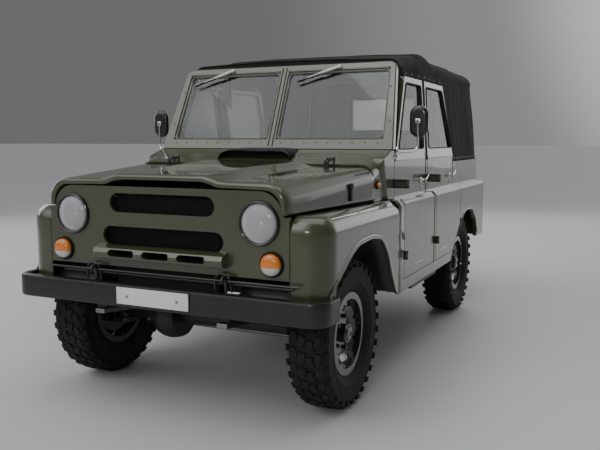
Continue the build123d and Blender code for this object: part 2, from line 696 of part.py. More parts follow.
hinge_heights = ((690, body_half_width), (1105, upper_half_width))
front_hinge_y = door_front_y - hinge_setback
rear_hinge_y = rear_door_y - hinge_setback


def hinge_brackets():
    leaves = []
    for y in (front_hinge_y, rear_hinge_y):
        for z, wall_x in hinge_heights:
            leaves += both(hinge_body_leaf(y, z, wall_x))
    return leaves


def upper_frame(outline, window):
    """Leaning window frame on top of a door; outlines are (y, z)."""
    t, inside = 30, upper_half_width - 300

    def leaning(near, far, outline):
        """Slab between two distances in from the leaning side, cut to an outline."""
        x0, x1 = side_x(belt_z), side_x(door_top_z)
        section = [(x0 - near, belt_z), (x1 - near, door_top_z), (x1 - far, door_top_z), (x0 - far, belt_z)]
        slab = prism_y(section, door_front_y - 100, rear_door_end_y + 100)
        return slab & prism_x(outline, inside, far_x)

    g, middle, half_glass = seat_gap, t / 2, glass_thickness / 2
    (ya, za), (yb, zb), (yc, zc), (yd, zd) = window
    pane = [(ya + g, za + g), (yb - g, zb + g), (yc - g, zc - g), (yd + g, zd - g)]
    frame = leaning(0, t, outline) - prism_x(window, inside, far_x)
    return frame, leaning(middle - half_glass, middle + half_glass, pane)


def front_door():
    y0, y1 = door_front_y, door_rear_y
    lower = prism_y(wall_profile(door_wall, door_bottom_z, belt_z), y0, y1)
    outline = [(y0 + 14, belt_z), (y1, belt_z), (y1, door_top_z), (y0 + 285, door_top_z)]
    window = [(y0 + 90, window_z0), (y1 - 34, window_z0), (y1 - 34, window_z1), (y0 + 310, window_z1)]
    frame, pane = upper_frame(outline, window)
    hinges = [hinge_door_leaf(front_hinge_y, z, wall_x) for z, wall_x in hinge_heights]
    return [lower, frame], hinges, pane


def rear_door():
    y0, y1 = rear_door_y, rear_door_end_y
    lower = prism_y(wall_profile(door_wall, door_bottom_z, belt_z), y0, y1)
    cut = [(-570, 540), (-465, 540), (-390, 606), (-240, 724), (-70, 830), (-70, 400), (-570, 400)]
    lower -= prism_x([(rear_axle_y + y, z) for y, z in cut], tail_half, far_x)
    outline = [(y0, belt_z), (y1, belt_z), (frame_end_y, door_top_z), (y0, door_top_z)]
    window = [(y0 + 34, window_z0), (y1 - 38, window_z0), (frame_end_y - 29, window_z1), (y0 + 34, window_z1)]
    frame, pane = upper_frame(outline, window)
    hinges = [hinge_door_leaf(rear_hinge_y, z, wall_x) for z, wall_x in hinge_heights]
    return [lower, frame], hinges, pane


def tailgate():
    y1 = rear_panel_y
    half = tail_half - seat_gap
    return box(-half, half, y1 - body_wall, y1 - 3, cargo_floor_z - 60, rear_belt_z)


# ---------------------------------------------------------------- spare wheel
spare_x = 0
spare_y = overall_length / 2 - tyre_width / 2
spare_z = 905
carrier_axis_x = -640
carrier_axis_y = rear_panel_y + 34
carrier_arms = (spare_z - 150, spare_z + 150)
carrier_pin_radius = 8
carrier_eye_radius = 19




def spare_tyre():
    shape = tyre(0, 0, 0, 1)
    return Pos(spare_x, spare_y, spare_z) * Rot(0, 0, 90) * shape


def spare_rim():
    shape = rim(0, 0, 0, 1)
    return Pos(spare_x, spare_y, spare_z) * Rot(0, 0, 90) * shape


def spare_carrier():
    """Swinging gate that carries the spare wheel, on two hinges at the right rear corner."""
    y, x = carrier_axis_y, carrier_axis_x
    gate = None
    for z in carrier_arms:
        bar = box(x + carrier_eye_radius - 1, spare_x + 160, y - 14, y + 14, z - 16, z + 16)
        bar += box(x, x + 20, y - 10, y + 10, z - 16, z + 16)
        bar += rod(carrier_eye_radius, (x, y, z - 16), (x, y, z + 16))
        bar -= rod(carrier_pin_radius + running_gap, (x, y, z - 20), (x, y, z + 20))
        gate = bar if gate is None else gate + bar
    gate += box(spare_x - 60, spare_x + 60, y - 14, y + 14, spare_z - 160, spare_z + 160)
    mount = spare_y + 20 - seat_gap
    gate += rod(80, (spare_x, y, spare_z), (spare_x, mount, spare_z))
    gate += rod(45, (spare_x, mount - 1, spare_z), (spare_x, mount + 30, spare_z))
    return gate


def carrier_brackets():
    parts = []
    x, y, wall_y, r = carrier_axis_x, carrier_axis_y, rear_panel_y + seat_gap, carrier_eye_radius
    for z in carrier_arms:
        pin = rod(carrier_pin_radius, (x, y, z - 32), (x, y, z + 32))
        for z0 in (z - 32, z + 17):
            pin += rod(r, (x, y, z0), (x, y, z0 + 15))
            pin += box(x - r, x + r, wall_y, y, z0, z0 + 15)
        pin += box(x - r - 6, x - r - 0.5, wall_y, y - 10, z - 32, z + 32)
        pin += box(x - r - 6, x, wall_y, wall_y + 8, z - 32, z + 32)
        parts.append(pin)
    return parts


# ---------------------------------------------------------------- soft top
roof_line = ((front_axle_y + 975, roof_front_z), (front_axle_y + 1560, roof_peak_z),
             (front_axle_y + 1720, roof_rear_z + 6), (rear_axle_y + 620, roof_rear_z))


def roof_z(y):
    (y0, z0) = roof_line[0]
    if y <= y0:
        return z0
    for (ya, za), (yb, zb) in zip(roof_line, roof_line[1:]):
        if y <= yb:
            return za + (zb - za) * (y - ya) / (yb - ya)
    return roof_line[-1][1]


def roof_section(y, inset, bottom):
    """Closed outline across the car at station y, inset inwards by a wall."""
    z = roof_z(y)

    def at(zz):
        return side_x(zz) - 8 - inset

    eave = at(z - 84)
    right = [(at(bottom), bottom), (eave, z - 84 - inset * 0.4), (eave - 14, z - 40 - inset * 0.7),
             (eave - 60, z - inset), (at(z) - 260, z + 12 - inset)]
    points = right + [(-x, zz) for x, zz in reversed(right)]
    return Wire.make_polygon([Vector(x, y, zz) for x, zz in points], close=True)


def rear_slope(inset):
    """Side view of the back of the canvas: a leaning rear wall with a rounded shoulder."""
    return [(-2000, 1000), (rear_panel_y - 4 - inset, 1000), (rear_panel_y - 4 - inset, rear_belt_z),
            (rear_panel_y - 84 - inset, 1845 - inset / 2), (rear_panel_y - 124 - inset, 1890 - inset),
            (rear_panel_y - 180 - inset, 1935 - inset), (rear_panel_y - 180 - inset, 2100), (-2000, 2100)]


def canvas_shape(inset, front, bottom):
    stations = [front] + [y for y, _ in roof_line[1:-1]] + [rear_panel_y + 20]
    wires = [roof_section(y, inset, bottom) for y in stations]
    return Solid.make_loft(wires, ruled=True) & prism_x(rear_slope(inset), -1000, 1000)


def soft_top():
    """Canvas hood: roof, flaps over the doors, rear sides and back, as one closed sheet."""
    front = roof_line[0][0]
    bottom = rear_belt_z + seat_gap
    outer = canvas_shape(0, front, bottom)
    inner = canvas_shape(canvas, front - 5, bottom - 60)
    hood = outer - inner
    gap = clear + 8
    door_cut = [(front - 50, 1000), (rear_door_end_y + gap, 1000), (rear_door_end_y + gap, belt_z - 4),
                (frame_end_y + gap, door_top_z + clear), (front - 50, door_top_z + clear)]
    hood -= prism_x(door_cut, -1000, 1000)
    return hood


def top_bows():
    """Steel hoops that hold the canvas up, standing on the body sides."""
    bows = []
    wall, width = 25, 30
    for y, base in ((rear_door_y - 42, belt_z - 6), (rear_door_end_y + 90, rear_belt_z),
                    (rear_axle_y + 490, rear_belt_z)):
        low = min(roof_z(y), roof_z(y + width))
        inset = canvas + seat_gap + (roof_z(y) - low) + (3 if base > rear_belt_z else 0)
        if base > rear_belt_z:
            inset += 20
        lift = roof_z(y) - low

        def hoop(extra, bottom):
            wire = roof_section(y, inset + extra, bottom)
            return Solid.extrude(Face(wire), Vector(0, width, 0))

        outer = hoop(0, base + seat_gap)
        inner = hoop(wall, base - 60)
        bow = outer - inner
        if lift:
            bow = Pos(0, 0, -lift) * bow
            bow -= box(-far_x, far_x, y - 1, y + width + 1, base - 300, base + seat_gap)
        bows.append(bow)
    return bows


# ---------------------------------------------------------------- interior
front_seat_x = 390
seat_base_z = 820               # top of the seat frames
cushion_height = 110
back_top_z = 1325
front_seat_y = door_front_y + 330
rear_seat_y = rear_axle_y - 560
seat_back_lean = 120 / 530


def seat_back_y(z):
    """Front face of a front seat's back panel at height z."""
    return front_seat_y + 420 + seat_back_lean * (z - seat_base_z + 20)


def seat_frames():
    parts = []
    z0, low, high = floor_z + 25 + seat_gap, seat_base_z - 20, back_top_z + 5
    for x in (-front_seat_x, front_seat_x):
        base = box(x - 220, x + 220, front_seat_y, front_seat_y + 440, z0, seat_base_z)
        base -= box(x - 200, x + 200, front_seat_y - 1, front_seat_y + 441, z0 + 20, low)
        back = prism_x([(seat_back_y(low), low), (seat_back_y(low) + 20, low), (seat_back_y(high) + 20, high),
                        (seat_back_y(high), high)], x - 200, x + 200)
        parts.append(base + back)
    base = box(-600, 600, rear_seat_y, rear_seat_y + 180, z0, seat_base_z)
    base -= box(-580, 580, rear_seat_y - 1, rear_seat_y + 181, z0 + 20, low)
    frame = base + box(-540, 540, rear_seat_y + 160, rear_seat_y + 440, low, seat_base_z)
    frame += box(-540, 540, rear_seat_y + 420, rear_seat_y + 440, low, high - 40)
    parts.append(frame)
    return parts


def seat_cushions():
    parts = []
    y, z0, top = front_seat_y, seat_base_z + seat_gap, seat_base_z + cushion_height
    foot, head = seat_back_y(top + 2) - 2 * seat_gap, seat_back_y(back_top_z) - 2 * seat_gap
    back = [(foot, top + 2), (head, back_top_z), (head - 95, back_top_z), (foot - 95, top + 2)]
    for x in (-front_seat_x, front_seat_x):
        parts.append(box(x - 225, x + 225, y - 10, y + 410, z0, top))
        parts.append(prism_x(back, x - 225, x + 225))
    y = rear_seat_y
    parts.append(box(-555, 555, y - 10, y + 330, z0, top))
    parts.append(box(-540, 540, y + 332, y + 420 - seat_gap, z0 + 5, 1300))
    return parts


dash_z = 1060                   # underside of the dashboard


def dashboard():
    y = firewall_y + 25 + seat_gap
    z = dash_z
    face = [(y, z), (y + 140, z), (y + 175, z + 60), (y + 150, z + 175), (y, z + 120)]
    return prism_x(face, -690, 690)


wheel_tilt = 32                   # steering wheel plane against the vertical
steering_x = front_seat_x
steering_y = front_axle_y + 985
steering_z = 1165
steering_radius = 205
column_radius = 12


def column_frame():
    return Pos(steering_x, steering_y, steering_z) * Rot(-(90 - wheel_tilt), 0, 0)


def steering_wheel():
    place = column_frame()
    wheel = Torus(steering_radius, 13)
    wheel += Solid.make_cylinder(34, 40, Plane((0, 0, -32)))
    for angle in (90, 210, 330):
        wheel += Rot(0, 0, angle) * box(0, steering_radius, -14, 14, -5, 5)
    wheel += Solid.make_cylinder(column_radius, 60, Plane((0, 0, -90)))
    return place * wheel


def steering_column():
    """Fixed outer tube of the column, held under the dashboard."""
    place = column_frame()
    tube = Solid.make_cylinder(24, 435, Plane((0, 0, -485)))
    tube -= Solid.make_cylinder(column_radius + running_gap, 60, Plane((0, 0, -92)))
    x, y = steering_x, steering_y - 300
    return place * tube + box(x - 20, x + 20, y - 20, y + 20, dash_z - 75, dash_z - seat_gap)


# ---------------------------------------------------------------- ends
plate_hole_radius = 4
plate_hole_span = 290
plate_hole_z = 597
hitch_bore_radius = 13


def bumpers():
    """Front bumper with tow hooks, and the short rear bumpers beside the tow hitch."""
    y = front_axle_y - front_overhang
    half, wrap = body_half_width + 29, front_axle_y - 378
    z0, z1 = 537, 652
    outside = [(half - 120, y), (half - 60, y + 6), (half - 18, y + 30), (half, y + 70), (half, wrap)]
    inside = [(half - 25, wrap), (half - 25, y + 78), (half - 40, y + 48), (half - 70, y + 30),
              (half - 124, y + 25)]
    right = outside + inside
    front = prism_z(right + [(-x, yy) for x, yy in reversed(right)], z0, z1)
    parts = []
    for sign in (1, -1):
        a, b = sorted((sign * (rail_x - 5), sign * (rail_x + 45)))
        front += box(a, b, y + 24, front_axle_y - 500 - seat_gap, rail_z0 + 32, rail_z1)
        hook_top = z1 + 83
        front += box(a + 10, b - 10, y + 14, y + 34, z1 - 1, hook_top)
        front += box(a + 10, b - 10, y + 14, y + 60, hook_top - 20, hook_top)
        a, b = sorted((sign * 560, sign * 800))
        rear = box(a, b, rear_panel_y + 22, rear_panel_y + 52, 520, 640)
        inner, outer = sorted((sign * 600, sign * 640))
        rear += box(inner, outer, rear_panel_y + seat_gap, rear_panel_y + 23, 555, 620)
        parts.append(rear)
        x = sign * plate_hole_span / 2
        front -= rod(plate_hole_radius, (x, y - 1, plate_hole_z), (x, y + 60, plate_hole_z))
    end = rear_panel_y - 40 + seat_gap
    hitch = box(-45, 45, end, end + 70, rail_z0, rail_z0 + 60)
    hitch -= rod(hitch_bore_radius, (0, end + 42, rail_z0 - 1), (0, end + 42, rail_z0 + 61))
    return [front] + parts + [hitch]


def mirror(sign):
    """Door mirror: bent arm on the front door frame and an oval head."""
    x, y, z = body_half_width + 43, door_front_y + 100, 1465
    arm_z, r = 1286, 7
    base_x, base_y = side_x(arm_z - 24), door_front_y + 38
    bend, upright = (x - 20, y - 20, arm_z), (x, y - 16, arm_z + 22)
    foot = box(base_x + seat_gap, base_x + 14, base_y - 12, base_y + 24, arm_z - 24, arm_z + 24)
    arm = rod(r, (base_x + 10, base_y + 6, arm_z), bend) + rod(r, bend, upright)
    arm += rod(r, upright, (x, y - 16, z))
    arm += Pos(*bend) * Sphere(r) + Pos(*upright) * Sphere(r)
    head = box(x - 56, x + 56, y - 12, y + 14, z - 93, z + 93)
    head = fillet(head.edges().filter_by(Axis.Y), 54)
    whole = foot + arm + head
    return whole if sign == 1 else mirrored(whole)


windscreen_frame, windscreen_panes, windscreen_place, windscreen_height = windscreen_parts()
front_slabs, front_leaves, front_pane = front_door()
rear_slabs, rear_leaves, rear_pane = rear_door()

nodes = {
    "chassis_frame": chassis_frame(),
    "leaf_springs": leaf_springs(),
    "axles": axles(),
    "driveshafts": driveshafts(),
    "engine_and_gearbox": engine_and_gearbox(),
    "radiator": radiator(),
    "fuel_tanks": fuel_tanks(),
    "exhaust": exhaust(),
    "tie_rod": tie_rod(),
    "knuckle_left": knuckle(1),
    "knuckle_right": knuckle(-1),
    "body_tub": body_tub(),
    "outer_sills": outer_sills(),
    "cowl": cowl(),
    "cowl_vent": cowl_vent(),
    "rear_quarters": rear_quarters(),
    "front_wings": front_wings(),
    "grille_panel": grille_panel(),
    "bonnet": bonnet(),
    "windscreen_frame": windscreen_frame,
    "windscreen_glass": windscreen_panes,
    "wipers": wipers(),
    "hinge_brackets": hinge_brackets() + carrier_brackets(),
    "front_door_left": front_slabs + front_leaves,
    "front_door_right": [mirrored(s) for s in front_slabs + front_leaves],
    "rear_door_left": rear_slabs + rear_leaves,
    "rear_door_right": [mirrored(s) for s in rear_slabs + rear_leaves],
    "front_door_left_glass": front_pane,
    "front_door_right_glass": mirrored(front_pane),
    "rear_door_left_glass": rear_pane,
    "rear_door_right_glass": mirrored(rear_pane),
    "tailgate": tailgate(),
    "spare_tyre": spare_tyre(),
    "spare_rim": spare_rim(),
    "spare_carrier": spare_carrier(),
    "soft_top": soft_top(),
    "top_bows": top_bows(),
    "seat_frames": seat_frames(),
    "seat_cushions": seat_cushions(),
    "dashboard": [dashboard(), steering_column()],
    "steering_wheel": steering_wheel(),
    "bumpers": bumpers(),
    "lamps": lamps(),
    "mirror_left": mirror(1),
    "mirror_right": mirror(-1),
}
for place_name, (wheel_x, wheel_y, outward) in wheel_places.items():
    nodes["tyre_" + place_name] = tyre(wheel_x, wheel_y, axle_z, outward)
    nodes["rim_" + place_name] = [rim(wheel_x, wheel_y, axle_z, outward),
                                  hub(wheel_x, wheel_y, axle_z, outward)]

os.makedirs("parts", exist_ok=True)
for node_name, shapes in nodes.items():
    pieces = solids_in(shapes)
    export_step(Compound(children=pieces, label=node_name), "parts/" + node_name + ".step")
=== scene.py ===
import json
from math import atan2, cos, exp, hypot, pi, radians, sin

import bmesh
import bpy
from mathutils import Matrix, Vector, noise


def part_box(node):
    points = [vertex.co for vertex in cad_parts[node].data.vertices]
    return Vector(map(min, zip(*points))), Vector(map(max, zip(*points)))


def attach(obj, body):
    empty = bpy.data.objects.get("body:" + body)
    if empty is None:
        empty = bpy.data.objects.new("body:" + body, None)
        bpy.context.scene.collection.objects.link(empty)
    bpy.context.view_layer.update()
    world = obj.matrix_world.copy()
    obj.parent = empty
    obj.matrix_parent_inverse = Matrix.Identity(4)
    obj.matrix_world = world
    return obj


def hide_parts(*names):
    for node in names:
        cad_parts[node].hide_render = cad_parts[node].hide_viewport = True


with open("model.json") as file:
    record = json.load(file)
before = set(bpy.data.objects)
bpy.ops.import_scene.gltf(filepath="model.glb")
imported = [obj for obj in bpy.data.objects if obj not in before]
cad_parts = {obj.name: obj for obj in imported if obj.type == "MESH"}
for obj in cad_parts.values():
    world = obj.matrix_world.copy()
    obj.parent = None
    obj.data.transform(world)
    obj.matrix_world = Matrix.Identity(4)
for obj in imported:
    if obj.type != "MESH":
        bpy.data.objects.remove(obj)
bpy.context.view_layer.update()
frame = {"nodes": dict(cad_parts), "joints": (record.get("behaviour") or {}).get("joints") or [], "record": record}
nodes = frame["nodes"]
joints = {joint["name"]: joint for joint in frame["joints"]}

# Everything is in metres: the front faces -Y, +X is the car's left and Z is up.
# ------------------------------------------------------------------ stations read from the frame
axle_x, front_y, axle_z = joints["spin_front_left"]["pos_m"]
rear_y = joints["spin_rear_left"]["pos_m"][1]
nose_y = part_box("bonnet")[0].y
grille_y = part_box("grille_panel")[1].y - 0.024
bonnet_rear_y = nose_y + 0.889
seam_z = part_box("bonnet")[0].z
body_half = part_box("rear_quarters")[1].x
door_front_y = front_y + 0.700
side_high_x = 0.8
wing_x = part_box("front_wings")[1].x
wing_rear_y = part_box("front_wings")[1].y
ledge_z = 1.015
belt_z = 1.233
bumper_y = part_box("bumpers")[0].y
tyre_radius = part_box("tyre_front_left")[1].z - axle_z
tyre_half = (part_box("tyre_front_left")[1].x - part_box("tyre_front_left")[0].x) / 2
rear_panel_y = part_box("rear_quarters")[1].y
side_lean = 0.071


def side_x(z):
    """Outer x of the leaning window frames at height z."""
    return side_high_x - side_lean * (z - belt_z)


# ------------------------------------------------------------------ materials
def material(name, colour, roughness, metallic=0.0, **settings):
    """A principled material; returns its tree, shader and colour so that detail can be added."""
    made = bpy.data.materials.new(name)
    made.use_nodes = True
    tree = made.node_tree
    shader = tree.nodes["Principled BSDF"]
    shader.inputs["Base Color"].default_value = (*colour, 1)
    shader.inputs["Roughness"].default_value = roughness
    shader.inputs["Metallic"].default_value = metallic
    for key, value in settings.items():
        shader.inputs[key.replace("_", " ")].default_value = value
    made["colour"] = colour
    return made


def object_coords(tree, scale):
    coords = tree.nodes.new("ShaderNodeTexCoord")
    mapping = tree.nodes.new("ShaderNodeMapping")
    mapping.inputs["Scale"].default_value = scale if hasattr(scale, "__len__") else (scale,) * 3
    tree.links.new(coords.outputs["Object"], mapping.inputs["Vector"])
    return mapping.outputs["Vector"]


def noise_texture(tree, scale, detail=4.0, rough=0.55):
    texture = tree.nodes.new("ShaderNodeTexNoise")
    texture.inputs["Scale"].default_value = scale
    texture.inputs["Detail"].default_value = detail
    texture.inputs["Roughness"].default_value = rough
    tree.links.new(object_coords(tree, 1.0), texture.inputs["Vector"])
    return texture.outputs["Fac"]


def mix_between(tree, factor, low, high):
    """Colour ramp from low to high, driven by factor."""
    ramp = tree.nodes.new("ShaderNodeValToRGB")
    ramp.color_ramp.elements[0].position = 0.3
    ramp.color_ramp.elements[1].position = 0.7
    ramp.color_ramp.elements[0].color = (*low, 1)
    ramp.color_ramp.elements[1].color = (*high, 1)
    tree.links.new(factor, ramp.inputs["Fac"])
    return ramp.outputs["Color"]


def spread(tree, factor, low, high):
    """Map a 0 to 1 factor onto low..high."""
    node = tree.nodes.new("ShaderNodeMapRange")
    node.inputs["To Min"].default_value = low
    node.inputs["To Max"].default_value = high
    tree.links.new(factor, node.inputs["Value"])
    return node.outputs["Result"]


def add_bump(made, factor, strength, distance):
    tree = made.node_tree
    bump = tree.nodes.new("ShaderNodeBump")
    bump.inputs["Strength"].default_value = strength
    bump.inputs["Distance"].default_value = distance
    tree.links.new(factor, bump.inputs["Height"])
    tree.links.new(bump.outputs["Normal"], tree.nodes["Principled BSDF"].inputs["Normal"])


def vary(made, scale, amount, rough_low, rough_high):
    """Break up a plain colour and its roughness with soft noise."""
    tree = made.node_tree
    shader = tree.nodes["Principled BSDF"]
    base = made["colour"]
    factor = noise_texture(tree, scale)
    low = [max(c * (1 - amount), 0) for c in base]
    high = [min(c * (1 + amount), 1) for c in base]
    tree.links.new(mix_between(tree, factor, low, high), shader.inputs["Base Color"])
    fine = noise_texture(tree, scale * 6)
    tree.links.new(spread(tree, fine, rough_low, rough_high), shader.inputs["Roughness"])
    return fine


def paint(name, colour, rough, coat):
    made = material(name, colour, rough, Coat_Weight=coat, Coat_Roughness=0.04)
    vary(made, 3.0, 0.08, rough - 0.05, rough + 0.06)
    add_bump(made, noise_texture(made.node_tree, 260.0, 2.0), 0.05, 0.0006)
    return made


def metal(name, colour, rough, amount=0.15):
    made = material(name, colour, rough, 1.0)
    fine = vary(made, 14.0, amount, rough - 0.06, rough + 0.1)
    add_bump(made, fine, 0.08, 0.0006)
    return made


def rubber(name, colour, rough):
    made = material(name, colour, rough, Specular_IOR_Level=0.35)
    fine = vary(made, 9.0, 0.35, rough - 0.1, rough + 0.12)
    add_bump(made, fine, 0.25, 0.001)
    return made


def plastic(name, colour, rough):
    made = material(name, colour, rough)
    vary(made, 8.0, 0.15, rough - 0.05, rough + 0.08)
    add_bump(made, noise_texture(made.node_tree, 420.0, 2.0), 0.15, 0.0005)
    return made


def glass(name, tint, rough=0.02, ior=1.45):
    made = material(name, tint, rough, Transmission_Weight=1.0, IOR=ior)
    fine = noise_texture(made.node_tree, 2.0)
    shader = made.node_tree.nodes["Principled BSDF"]
    made.node_tree.links.new(spread(made.node_tree, fine, rough * 0.5, rough * 2), shader.inputs["Roughness"])
    return made


def lens(name, tint, alpha=1.0):
    """Moulded lens whose fine ribs scatter the light under a glossy face."""
    made = material(name, tint, 0.22, Coat_Weight=1.0, Coat_Roughness=0.03, Alpha=alpha)
    tree = made.node_tree
    ribs = tree.nodes.new("ShaderNodeTexWave")
    ribs.bands_direction = "X"
    ribs.inputs["Scale"].default_value = 60.0
    tree.links.new(object_coords(tree, 1.0), ribs.inputs["Vector"])
    tree.links.new(mix_between(tree, ribs.outputs["Fac"], [c * 0.85 for c in tint], tint),
                   tree.nodes["Principled BSDF"].inputs["Base Color"])
    add_bump(made, ribs.outputs["Fac"], 0.3, 0.0008)
    return made


def canvas(name, colour):
    """Plain weave: two crossed fine waves, with broader fading and dust."""
    made = material(name, colour, 0.85, Sheen_Weight=0.05, Sheen_Roughness=0.5,
                    Specular_IOR_Level=0.25)
    tree = made.node_tree
    waves = []
    for direction in ("X", "Y"):
        wave = tree.nodes.new("ShaderNodeTexWave")
        wave.bands_direction = direction
        wave.inputs["Scale"].default_value = 260.0
        wave.inputs["Distortion"].default_value = 0.6
        wave.inputs["Detail"].default_value = 1.0
        tree.links.new(object_coords(tree, (1.0, 1.0, 1.0)), wave.inputs["Vector"])
        waves.append(wave.outputs["Fac"])
    weave = tree.nodes.new("ShaderNodeMath")
    weave.operation = "MULTIPLY"
    tree.links.new(waves[0], weave.inputs[0])
    tree.links.new(waves[1], weave.inputs[1])
    factor = noise_texture(tree, 5.0)
    low = [c * 0.6 for c in colour]
    high = [min(c * 1.7, 1) for c in colour]
    tree.links.new(mix_between(tree, factor, low, high), tree.nodes["Principled BSDF"].inputs["Base Color"])
    add_bump(made, weave.outputs["Value"], 0.35, 0.0008)
    return made


def grained(name, colour, rough, scale):
    """Vinyl or leather: voronoi grain with a little colour change in the valleys."""
    made = material(name, colour, rough, Coat_Weight=0.1, Coat_Roughness=0.3)
    tree = made.node_tree
    cells = tree.nodes.new("ShaderNodeTexVoronoi")
    cells.feature = "DISTANCE_TO_EDGE"
    cells.inputs["Scale"].default_value = scale
    tree.links.new(object_coords(tree, 1.0), cells.inputs["Vector"])
    low = [c * 0.65 for c in colour]
    tree.links.new(mix_between(tree, cells.outputs["Distance"], low, colour),
                   tree.nodes["Principled BSDF"].inputs["Base Color"])
    add_bump(made, cells.outputs["Distance"], 0.4, 0.0012)
    return made


green = paint("olive_paint", (0.055, 0.064, 0.027), 0.30, 1.0)
# Lighter copy of the olive paint for the windscreen lips, rivets and post beads: a painted highlight standing in
# for the front and top light falling on the raked frame.
screen_green_painted_highlight = paint("screen_frame_lit_paint", (0.075, 0.084, 0.043), 0.32, 1.0)
black_gloss = paint("black_gloss_paint", (0.012, 0.012, 0.013), 0.30, 0.6)
black_frame = paint("black_chassis_paint", (0.018, 0.018, 0.018), 0.5, 0.15)
wheel_paint = paint("wheel_paint", (0.012, 0.014, 0.012), 0.22, 1.0)
tyre_rubber = rubber("tyre_rubber", (0.014, 0.014, 0.014), 0.72)
seal_rubber = rubber("seal_rubber", (0.010, 0.010, 0.010), 0.6)
grey_seal = rubber("grey_seal", (0.36, 0.36, 0.33), 0.6)
grey_iron = metal("grey_iron", (0.14, 0.14, 0.14), 0.5)
alloy = metal("alloy", (0.45, 0.45, 0.46), 0.42)
bare_steel = metal("bare_steel", (0.30, 0.30, 0.31), 0.38)
chrome = metal("chrome", (0.82, 0.82, 0.82), 0.10, 0.04)
black_plastic = plastic("black_plastic", (0.014, 0.014, 0.014), 0.5)
clear_glass = glass("clear_glass", (0.80, 0.84, 0.83))
door_glass = glass("door_glass", (0.42, 0.44, 0.44), ior=1.16)
# Headlamp lens: clear ribbed glass given a near-white, partly opaque colour. Besides the ribs' own scatter, this
# is a painted reflection standing in for the bright reflector seen through the glass.
lamp_glass = lens("lamp_glass", (0.98, 0.99, 1.0), 0.30)
canvas_black = canvas("canvas_black", (0.0055, 0.0055, 0.006))
mirror_silver = material("mirror_silver", (0.93, 0.94, 0.95), 0.18, 1.0)
vary(mirror_silver, 30.0, 0.04, 0.10, 0.30)
amber = lens("amber_lens", (0.85, 0.24, 0.02))
white_lens = lens("white_lens", (0.62, 0.62, 0.60))
red_lens = lens("red_lens", (0.45, 0.015, 0.012))
shadow_black = paint("shadow_black", (0.0022, 0.0022, 0.0023), 0.7, 0.0)
bumper_black = paint("bumper_black", (0.012, 0.012, 0.012), 0.42, 0.25)
wiper_paint = paint("wiper_paint", (0.70, 0.70, 0.66), 0.35, 0.6)
plate_white = paint("plate_white", (0.78, 0.78, 0.76), 0.4, 0.3)
film_plastic = glass("window_film", (0.95, 0.95, 0.92), 0.5, 1.03)
seat_vinyl = grained("seat_vinyl", (0.035, 0.036, 0.036), 0.5, 260.0)
for_slot = {
    "army_green": green, "black_frame": black_frame, "black_steel": black_gloss, "wheel_steel": wheel_paint,
    "tyre_rubber": tyre_rubber, "grey_iron": grey_iron, "alloy": alloy, "bare_steel": bare_steel,
    "clear_glass": clear_glass, "lamp_glass": lamp_glass, "canvas_black": canvas_black,
    "seat_vinyl": seat_vinyl, "black_plastic": black_plastic, "chrome_trim": chrome,
}
for_node = {name: door_glass for name in nodes if name.endswith("_glass") and "door" in name}
for_node["radiator"] = shadow_black
slots = {part["node"]: part["material_slot"] for part in frame["record"]["subparts"]}

# ------------------------------------------------------------------ CAD nodes that stay
edge_rounding = {"bumpers": 0.006, "rear_quarters": 0.012, "tailgate": 0.006,
                 "windscreen_frame": 0.008, "grille_panel": 0.007, "outer_sills": 0.008,
                 "front_door_left": 0.009, "front_door_right": 0.009, "rear_door_left": 0.009,
                 "rear_door_right": 0.009}
for name, node in nodes.items():
    node.data.materials.clear()
    node.data.materials.append(for_node.get(name, for_slot[slots[name]]))
    weld = node.modifiers.new("weld", "WELD")
    weld.merge_threshold = 0.00005
    bevel = node.modifiers.new("rounding", "BEVEL")
    bevel.width = edge_rounding.get(name, 0.0025)
    bevel.segments = 3
    bevel.limit_method = "ANGLE"
    bevel.angle_limit = radians(28)
    bevel.harden_normals = True

# ------------------------------------------------------------------ mesh helpers
least_radius = 0.0002


def lerp(a, b, share):
    return a + (b - a) * share


def evenly(low, high, count):
    """Even values from low to high: the first and count more."""
    return [lerp(low, high, k / count) for k in range(count + 1)]


def circle(count):
    """Cosine and sine of even angles round a circle."""
    return [(cos(2 * pi * k / count), sin(2 * pi * k / count)) for k in range(count)]


def quarter(count):
    """Cosine and sine at even angles from 0 to 90 degrees."""
    return [(cos(pi / 2 * k / count), sin(pi / 2 * k / count)) for k in range(count + 1)]


